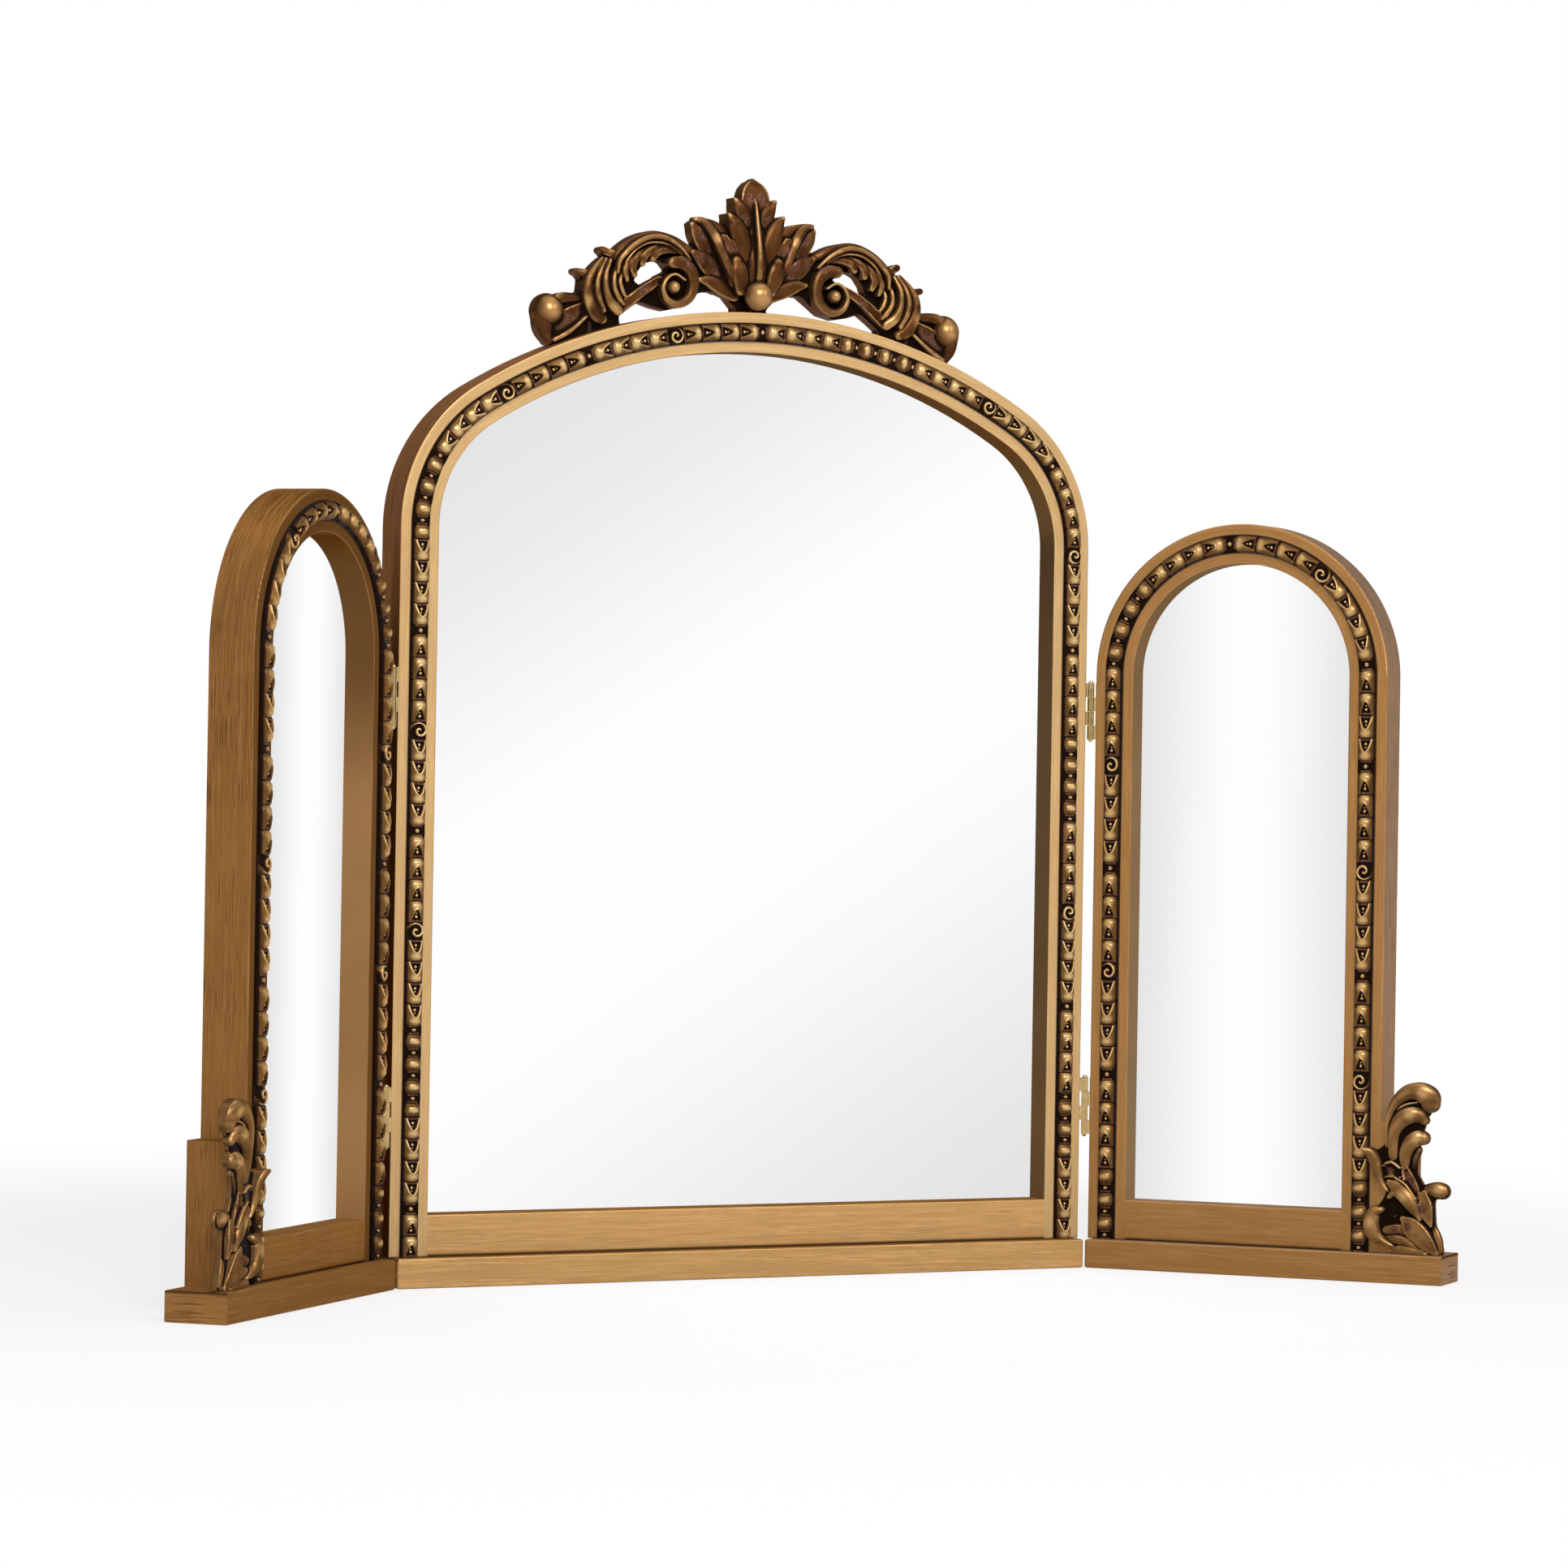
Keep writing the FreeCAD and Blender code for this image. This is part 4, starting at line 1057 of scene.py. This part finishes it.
def crest(finish):
    """The crest: leaf and scroll work over an openwork plate, run together as one casting."""
    edge = CREST_EDGE + [(-x, z) for x, z in reversed(CREST_EDGE[1:-1])]
    holes = [CREST_HOLE, [(-x, z) for x, z in CREST_HOLE]]
    ground = drawn_in(plate([edge] + holes, CREST_FLOOR, CREST_BACK), EDGE_MARGIN)
    half = crest_half()
    parts = [ground] + half + [turned_over(part) for part in half]
    parts.append(rib(LEAF_BODY, 21, 3.4))
    parts.append(rib(LEAF_STEM, 14, 2.0))
    parts.append(rib(LEAF_HOOD, 21, 2.2, 2.2))
    parts.append(blob(*KNOB, 2.0, 9.4, 9.4, 9.4))
    points, faces = join(parts)
    points[:, 1] = np.minimum(points[:, 1], CREST_BACK)
    piece = make_object("leaf_crest", points, faces, CENTRE, finish, "centre_crest")
    cast(piece, CREST_GRAIN, CENTRE, CREST_GLAZED, both_sides(CREST_RUBBED), both_sides(CREST_HIGHLIGHTS))


# Corner ornaments. Lines are as for the crest, x from the wing's hinge-side edge

# How much of the solid's depth is left under the carving, and how far back the carving runs
ORNAMENT_CORE, ORNAMENT_BACK = 0.35, 0.5
# Size of the casting's grain, and the depths between which the glaze and painted shade set in
ORNAMENT_GRAIN, ORNAMENT_GLAZED = 0.45, (-5.5, -3.4)
# Middles of the patches that are rubbed to the red ground, and rubbed bright as a painted highlight,
# and their radius
ORNAMENT_PATCH = 4.5
ORNAMENT_RUBBED = [(213, 75), (227, 68), (236, 50), (216, 35), (225, 37)]
ORNAMENT_HIGHLIGHTS = [(235, 126), (226, 112), (231, 96), (246, 63), (200, 40), (222, 58)]


def ornament_parts():
    """The curls and leaves of a corner ornament."""
    parts = []

    def leaf(points, crown, hollow=0.0):
        parts.append(rib(points, ORNAMENT_BACK, crown, hollow))

    # Three curls, the tall one on top, and the thin line under it
    leaf([(209.8, 90, -6, 1.3), (210.0, 103, -7.5, 1.7), (212.4, 113.5, -9, 2.3),
          (217.6, 121.6, -10, 3.6), (225, 126.4, -10.8, 4.9), (232.4, 126.4, -10.8, 6.0),
          (237.8, 123, -10, 6.8), (239, 118.6, -8.5, 6.0)], 3.6)
    leaf([(214, 83, -6, 3.4), (213.8, 95, -8, 3.5), (216.2, 103, -9.5, 4.5), (221, 108.8, -10.2, 5.4),
          (227, 111.2, -10, 5.2), (232, 110.4, -8.5, 4.4), (235, 107.6, -7, 3.0)], 3.4)
    leaf([(211.5, 106, -5, 0.6), (215.5, 113, -6, 0.7), (222, 117.6, -6, 0.7),
          (230, 119.3, -5, 0.6)], 0.7)
    leaf([(222, 77, -6, 3.4), (222.5, 85.6, -8, 4.1), (225.6, 92, -9.4, 4.8), (230, 95.6, -9.4, 5.2),
          (234, 95.8, -8, 4.6)], 3.2)
    leaf([(228, 72, -4, 2.6), (228.5, 81, -4.5, 2.6), (231, 88, -4.5, 2.2)], 1.4)
    # Ground between the curls, set deep to take the glaze and painted shade
    leaf([(212, 104, -3.2, 2.0), (218, 115, -3.2, 4.4), (228, 118, -3.2, 4.0),
          (236, 113, -3.2, 3.0)], 0.4)
    leaf([(215, 88, -3.2, 3.0), (221, 98, -3.2, 4.4), (229, 103.4, -3.2, 3.8),
          (233.4, 103.4, -3.2, 2.0)], 0.4)
    # Left leaf, its tip standing well forward
    leaf([(195.4, 87.6, -13, 1.2), (199.4, 85.4, -12, 2.9), (202.3, 79, -10, 3.4), (203.8, 72, -9, 3.0),
          (206.6, 66, -8, 1.9), (210.8, 60.8, -7.5, 0.9)], 2.0)
    # Hollow leaf under the curls, with its rim
    leaf([(206, 71.5, -6, 3.0), (212, 74.4, -7, 5.2), (218.6, 73, -6.5, 3.6)], 0.9, 2.0)
    leaf([(209.6, 78.8, -7.5, 0.8), (214, 79.4, -8, 0.9), (219, 76, -7.5, 0.8)], 0.9)
    # Middle leaf running down to the right, hooked at its left end
    leaf([(211.4, 65.4, -6.5, 2.8), (217, 62.6, -8.5, 4.8), (223.6, 57, -10, 5.0), (229, 50, -10, 3.8),
          (233.6, 42.6, -8.5, 0.9)], 3.0)
    leaf([(219, 59, -8.5, 2.6), (215, 59.2, -8.5, 2.2), (212, 56.6, -8, 1.3)], 1.8)
    # Hollow leaf and thin line on its right, and the leaf below
    leaf([(221.8, 76.8, -6.5, 1.9), (224.6, 70, -7.2, 3.6), (229, 62.4, -7.6, 3.2),
          (231.8, 57, -7, 1.2)], 0.9, 1.8)
    leaf([(216, 69.6, -8, 0.6), (223.6, 65, -8.6, 0.7), (230.6, 56, -8.6, 0.6)], 0.7)
    leaf([(235.4, 59.4, -7, 2.2), (236.8, 52, -8.4, 4.4), (238.4, 45, -8.4, 3.4),
          (240.6, 38.6, -7.4, 0.9)], 1.0, 1.4)
    # Knob on its stalk
    leaf([(233, 60.5, -4, 2.6), (238, 62, -5.4, 4.2), (243.6, 62, -6, 5.5),
          (247.4, 61.4, -5.6, 5.5)], 3.6)
    # Bottom comma, with the dark hollow inside it
    leaf([(207.2, 48.2, -8.5, 1.6), (202, 46, -10, 4.2), (200, 38.8, -10.6, 5.0), (202, 32, -10.6, 4.8),
          (207.2, 27.8, -9.4, 3.2), (215, 24.6, -8, 0.9)], 3.2)
    # Bottom leaves and the plain panel between them
    leaf([(210, 34.6, -5.4, 2.6), (216, 35, -5.8, 3.4), (222, 35, -5.8, 3.2)], 0.8)
    leaf([(221.4, 42.4, -7.5, 1.8), (226, 38.6, -9.6, 5.6), (232.6, 33.2, -10.6, 6.3),
          (239, 26.6, -10, 4.8), (244.6, 21, -8.4, 1.6)], 1.4, 1.6)
    leaf([(211, 29.2, -6, 1.9), (217.6, 28.8, -8, 2.9), (226, 26.4, -8.6, 2.8),
          (236, 21.4, -8.4, 1.0)], 2.0)
    leaf([(213.4, 21.6, -8, 1.5), (220, 22.4, -9.4, 2.5), (228, 22, -9.4, 2.2),
          (238, 20.2, -8, 0.9)], 1.6)
    leaf([(241.6, 37, -5, 2.4), (243.6, 30, -6, 3.8), (245.4, 23, -6, 3.2)], 1.4, 0.6)
    return parts


def corner_ornament(panel, finish):
    """A wing's corner ornament, standing on the plinth in front of the side block."""
    points, faces = node_solid(f"{panel.word}_corner_ornament", panel)
    core = drawn_in((points * (1, ORNAMENT_CORE, 1), faces), EDGE_MARGIN)
    shift = np.array([-panel.half, 0, 0])
    points, faces = join([core] + [(p + shift, q) for p, q in ornament_parts()])
    points[:, 1] = np.minimum(points[:, 1], 0.0)
    points[:, 2] = np.maximum(points[:, 2], PLINTH_HEIGHT)
    name = f"{panel.word}_leaf_ornament"
    piece = make_object(name, points, faces, panel, finish, f"{panel.word}_corner_ornament")
    clear_of_mirrors(piece)
    rubbed, bright = (
        [(x - panel.half, z, ORNAMENT_PATCH) for x, z in middles]
        for middles in (ORNAMENT_RUBBED, ORNAMENT_HIGHLIGHTS)
    )
    cast(piece, ORNAMENT_GRAIN, panel, ORNAMENT_GLAZED, rubbed, bright)


# Dressing the CAD nodes

RUNS = {"rail": "level", "plinth": "level", "head": "arch", "block": "block"}


def dress_nodes():
    """Each CAD node that stays in view gets its finish."""
    by_slot = {
        "brass": polished_brass(),
        "steel": bright_zinc(),
        "back_board": plain_wood("hardboard", (0.30, 0.19, 0.10), (0.20, 0.12, 0.06), 900.0),
        "beech": plain_wood("beech", (0.62, 0.44, 0.26), (0.48, 0.32, 0.17), 300.0),
    }
    # Brads and crest pins are painted with the dark glaze; where they show through gaps in the carving
    # it stands as painted shade
    under_carving = plain_wood("dark_glaze", GLAZE_AND_SHADE, RED_GROUND[1], 500.0)
    by_panel = {}
    for panel in (CENTRE, LEFT, RIGHT):
        for run in ("upright", "level", "arch"):
            by_panel[panel.word, run] = brushed_gilt(panel, run, run != "level")
        by_panel[panel.word, "block"] = brushed_gilt(panel, "upright", False)
        by_panel[panel.word, "mirror"] = silvered_glass(panel)
    for part in frame["record"]["subparts"]:
        name, slot = part["node"], part["material_slot"]
        word = "centre" if name.startswith("centre") else "_".join(name.split("_")[:2])
        if slot == "gilt_frame":
            run = next((run for member, run in RUNS.items() if member in name), "upright")
            finish = by_panel[word, run]
        elif "brads" in name or "crest_pins" in name:
            finish = under_carving
        elif slot == "mirror_glass":
            finish = by_panel[word, "mirror"]
        elif slot in by_slot:
            finish = by_slot[slot]
        else:
            continue
        node = frame["nodes"][name]
        clear_of_mirrors(node)
        node.data.materials.clear()
        node.data.materials.append(finish)


# Studio

# Lamps, in metres and watts: where each one hangs, where it aims, its width and height, its power
LAMPS = {
    "key": ((-0.9, -3.1, 2.4), (0, 0, 0.35), (1.7, 1.5), 84.0),
    "fill": ((1.7, -2.6, 2.2), (0, 0, 0.35), (1.2, 1.2), 18.0),
    "top": ((0.0, 0.2, 2.4), (0, 0, 0.3), (2.4, 1.4), 16.0),
}
AMBIENT = 0.27
UP = (0, 0, 1)
# Ways to the white screens that the three mirrors face, how squarely a ray has to meet them, and the
# way to the brighter side of the room
SCREENS = [(0.458, -0.889, 0), (-0.948, -0.312, 0), (0.911, 0.411, 0)]
SCREEN_EDGE = (0.93, 0.975)
BRIGHT_SIDE = (-0.46, -0.70, 0.55)
FLOOR_REACH, FLOOR_LEVEL = 6.0, -0.0003
# The floor's own glow beside the object, and the painted shade that glossy rays see in it close by
FLOOR_GLOW, FLOOR_NEAR = 0.72, 0.35


def lamp(name, place, aim, size, power):
    """A soft lamp."""
    light = bpy.data.lights.new(name, "AREA")
    light.shape = "RECTANGLE"
    light.size, light.size_y = size
    light.energy = power
    thing = bpy.data.objects.new(name, light)
    bpy.context.scene.collection.objects.link(thing)
    turn = (Vector(place) - Vector(aim)).to_track_quat("Z", "Y").to_matrix().to_4x4()
    thing.matrix_world = Matrix.Translation(place) @ turn


def white_world():
    """White to the camera, dim and even on the object, and a room with white screens in its gloss."""
    world = bpy.data.worlds.new("studio")
    w = Finish(world)
    seen, glossy, _ = w.rays()
    way = w.node("TexCoord")[GENERATED]
    level = 1 - abs(w.along(way, UP)).step(0.10, 0.34)
    screens, *others = (w.along(way, screen).step(*SCREEN_EDGE) for screen in SCREENS)
    for screen in others:
        screens = screens.at_least(screen)
    overhead = w.along(way, UP).step(-0.1, 0.6)
    beside = w.along(way, BRIGHT_SIDE).step(0.2, 0.9)
    room = 0.05 + 0.22 * overhead + 0.35 * beside
    shown = seen + glossy * room.at_least(level * screens) + (1 - seen - glossy) * AMBIENT
    black, white = (
        w.node("Background", None, {"Color": (grey,) * 3, "Strength": 1.0})[0] for grey in (0.0, 1.0)
    )
    w.node("OutputWorld", None, {0: w.node("MixShader", None, {0: shown, 1: black, 2: white})[0]})
    return world


def floor_finish():
    """A pale floor that keeps the object's shadow and runs out into white; glossy rays that meet it
    close by see a painted shade.
    """
    f = new_finish("pale_floor")
    place = f.place()
    x, y, _ = f.node("SeparateXYZ", None, {0: place})
    far = (x * x + y * y) ** 0.5
    seen, glossy, length = f.rays()
    share = (seen * (FLOOR_GLOW + (1 - FLOOR_GLOW) * far.step(0.55, 1.3))).at_least(glossy)
    grain = f.mix(f.noise(place, 3.0), (0.9,) * 3, (0.94,) * 3)
    lit = f.node("BsdfDiffuse", None, {"Color": grain})[0]
    # Painted shade: glossy rays that meet the floor after a short reach see it dim
    near = glossy * (1 - length.step(0.15, 0.45))
    shade = f.mix(near, (1.0,) * 3, (FLOOR_NEAR,) * 3)
    glow = f.node("Emission", None, {"Color": shade, "Strength": 1.0})[0]
    f.node("OutputMaterial", None, {0: f.node("MixShader", None, {0: share, 1: lit, 2: glow})[0]})
    return f.owner


def studio():
    """A pale floor, a white world and soft lamps."""
    scene = bpy.context.scene
    scene.view_settings.view_transform = "Standard"
    scene.world = white_world()
    mesh = bpy.data.meshes.new("floor")
    r = FLOOR_REACH
    mesh.from_pydata([(-r, -r, 0), (r, -r, 0), (r, r, 0), (-r, r, 0)], [], [(0, 1, 2, 3)])
    mesh.materials.append(floor_finish())
    floor = bpy.data.objects.new("floor", mesh)
    floor.location.z = FLOOR_LEVEL
    scene.collection.objects.link(floor)
    for name, settings in LAMPS.items():
        lamp(name, *settings)


def camera():
    """The camera at the picture's own angle."""
    yaw, pitch, roll = (math.radians(a) for a in (CAMERA_YAW, CAMERA_PITCH, CAMERA_ROLL))
    out = math.cos(pitch)
    forward = np.array([math.sin(yaw) * out, math.cos(yaw) * out, math.sin(pitch)])
    level = np.array([math.cos(yaw), -math.sin(yaw), 0.0])
    above = np.cross(level, forward)
    right = math.cos(roll) * level + math.sin(roll) * above
    up = math.cos(roll) * above - math.sin(roll) * level
    eye = bpy.data.cameras.new("eye")
    eye.sensor_width = SENSOR
    eye.lens = SENSOR * CAMERA_FOCUS / PICTURE
    eye.shift_x = 0.5 - CAMERA_AXIS[0] / PICTURE
    eye.shift_y = CAMERA_AXIS[1] / PICTURE - 0.5
    eye.clip_end = 50.0
    thing = bpy.data.objects.new("eye", eye)
    turn = Matrix((right, up, -forward)).transposed().to_4x4()
    thing.matrix_world = Matrix.Translation([c * MM for c in CAMERA_PLACE]) @ turn
    bpy.context.scene.collection.objects.link(thing)
    bpy.context.scene.camera = thing


for panel, motifs in ((CENTRE, CENTRE_MOTIFS), (LEFT, WING_MOTIFS), (RIGHT, WING_MOTIFS)):
    bead_moulding(panel, motifs, glazed_gilt(panel, "husks", HUSK_GOLD[panel.side], HUSK_METAL))
for wing in (LEFT, RIGHT):
    corner_ornament(wing, glazed_gilt(wing, "leaves", LEAF_GOLD, LEAF_METAL))
crest(glazed_gilt(CENTRE, "leaves", CREST_GOLD, CREST_METAL))
dress_nodes()
studio()
camera()
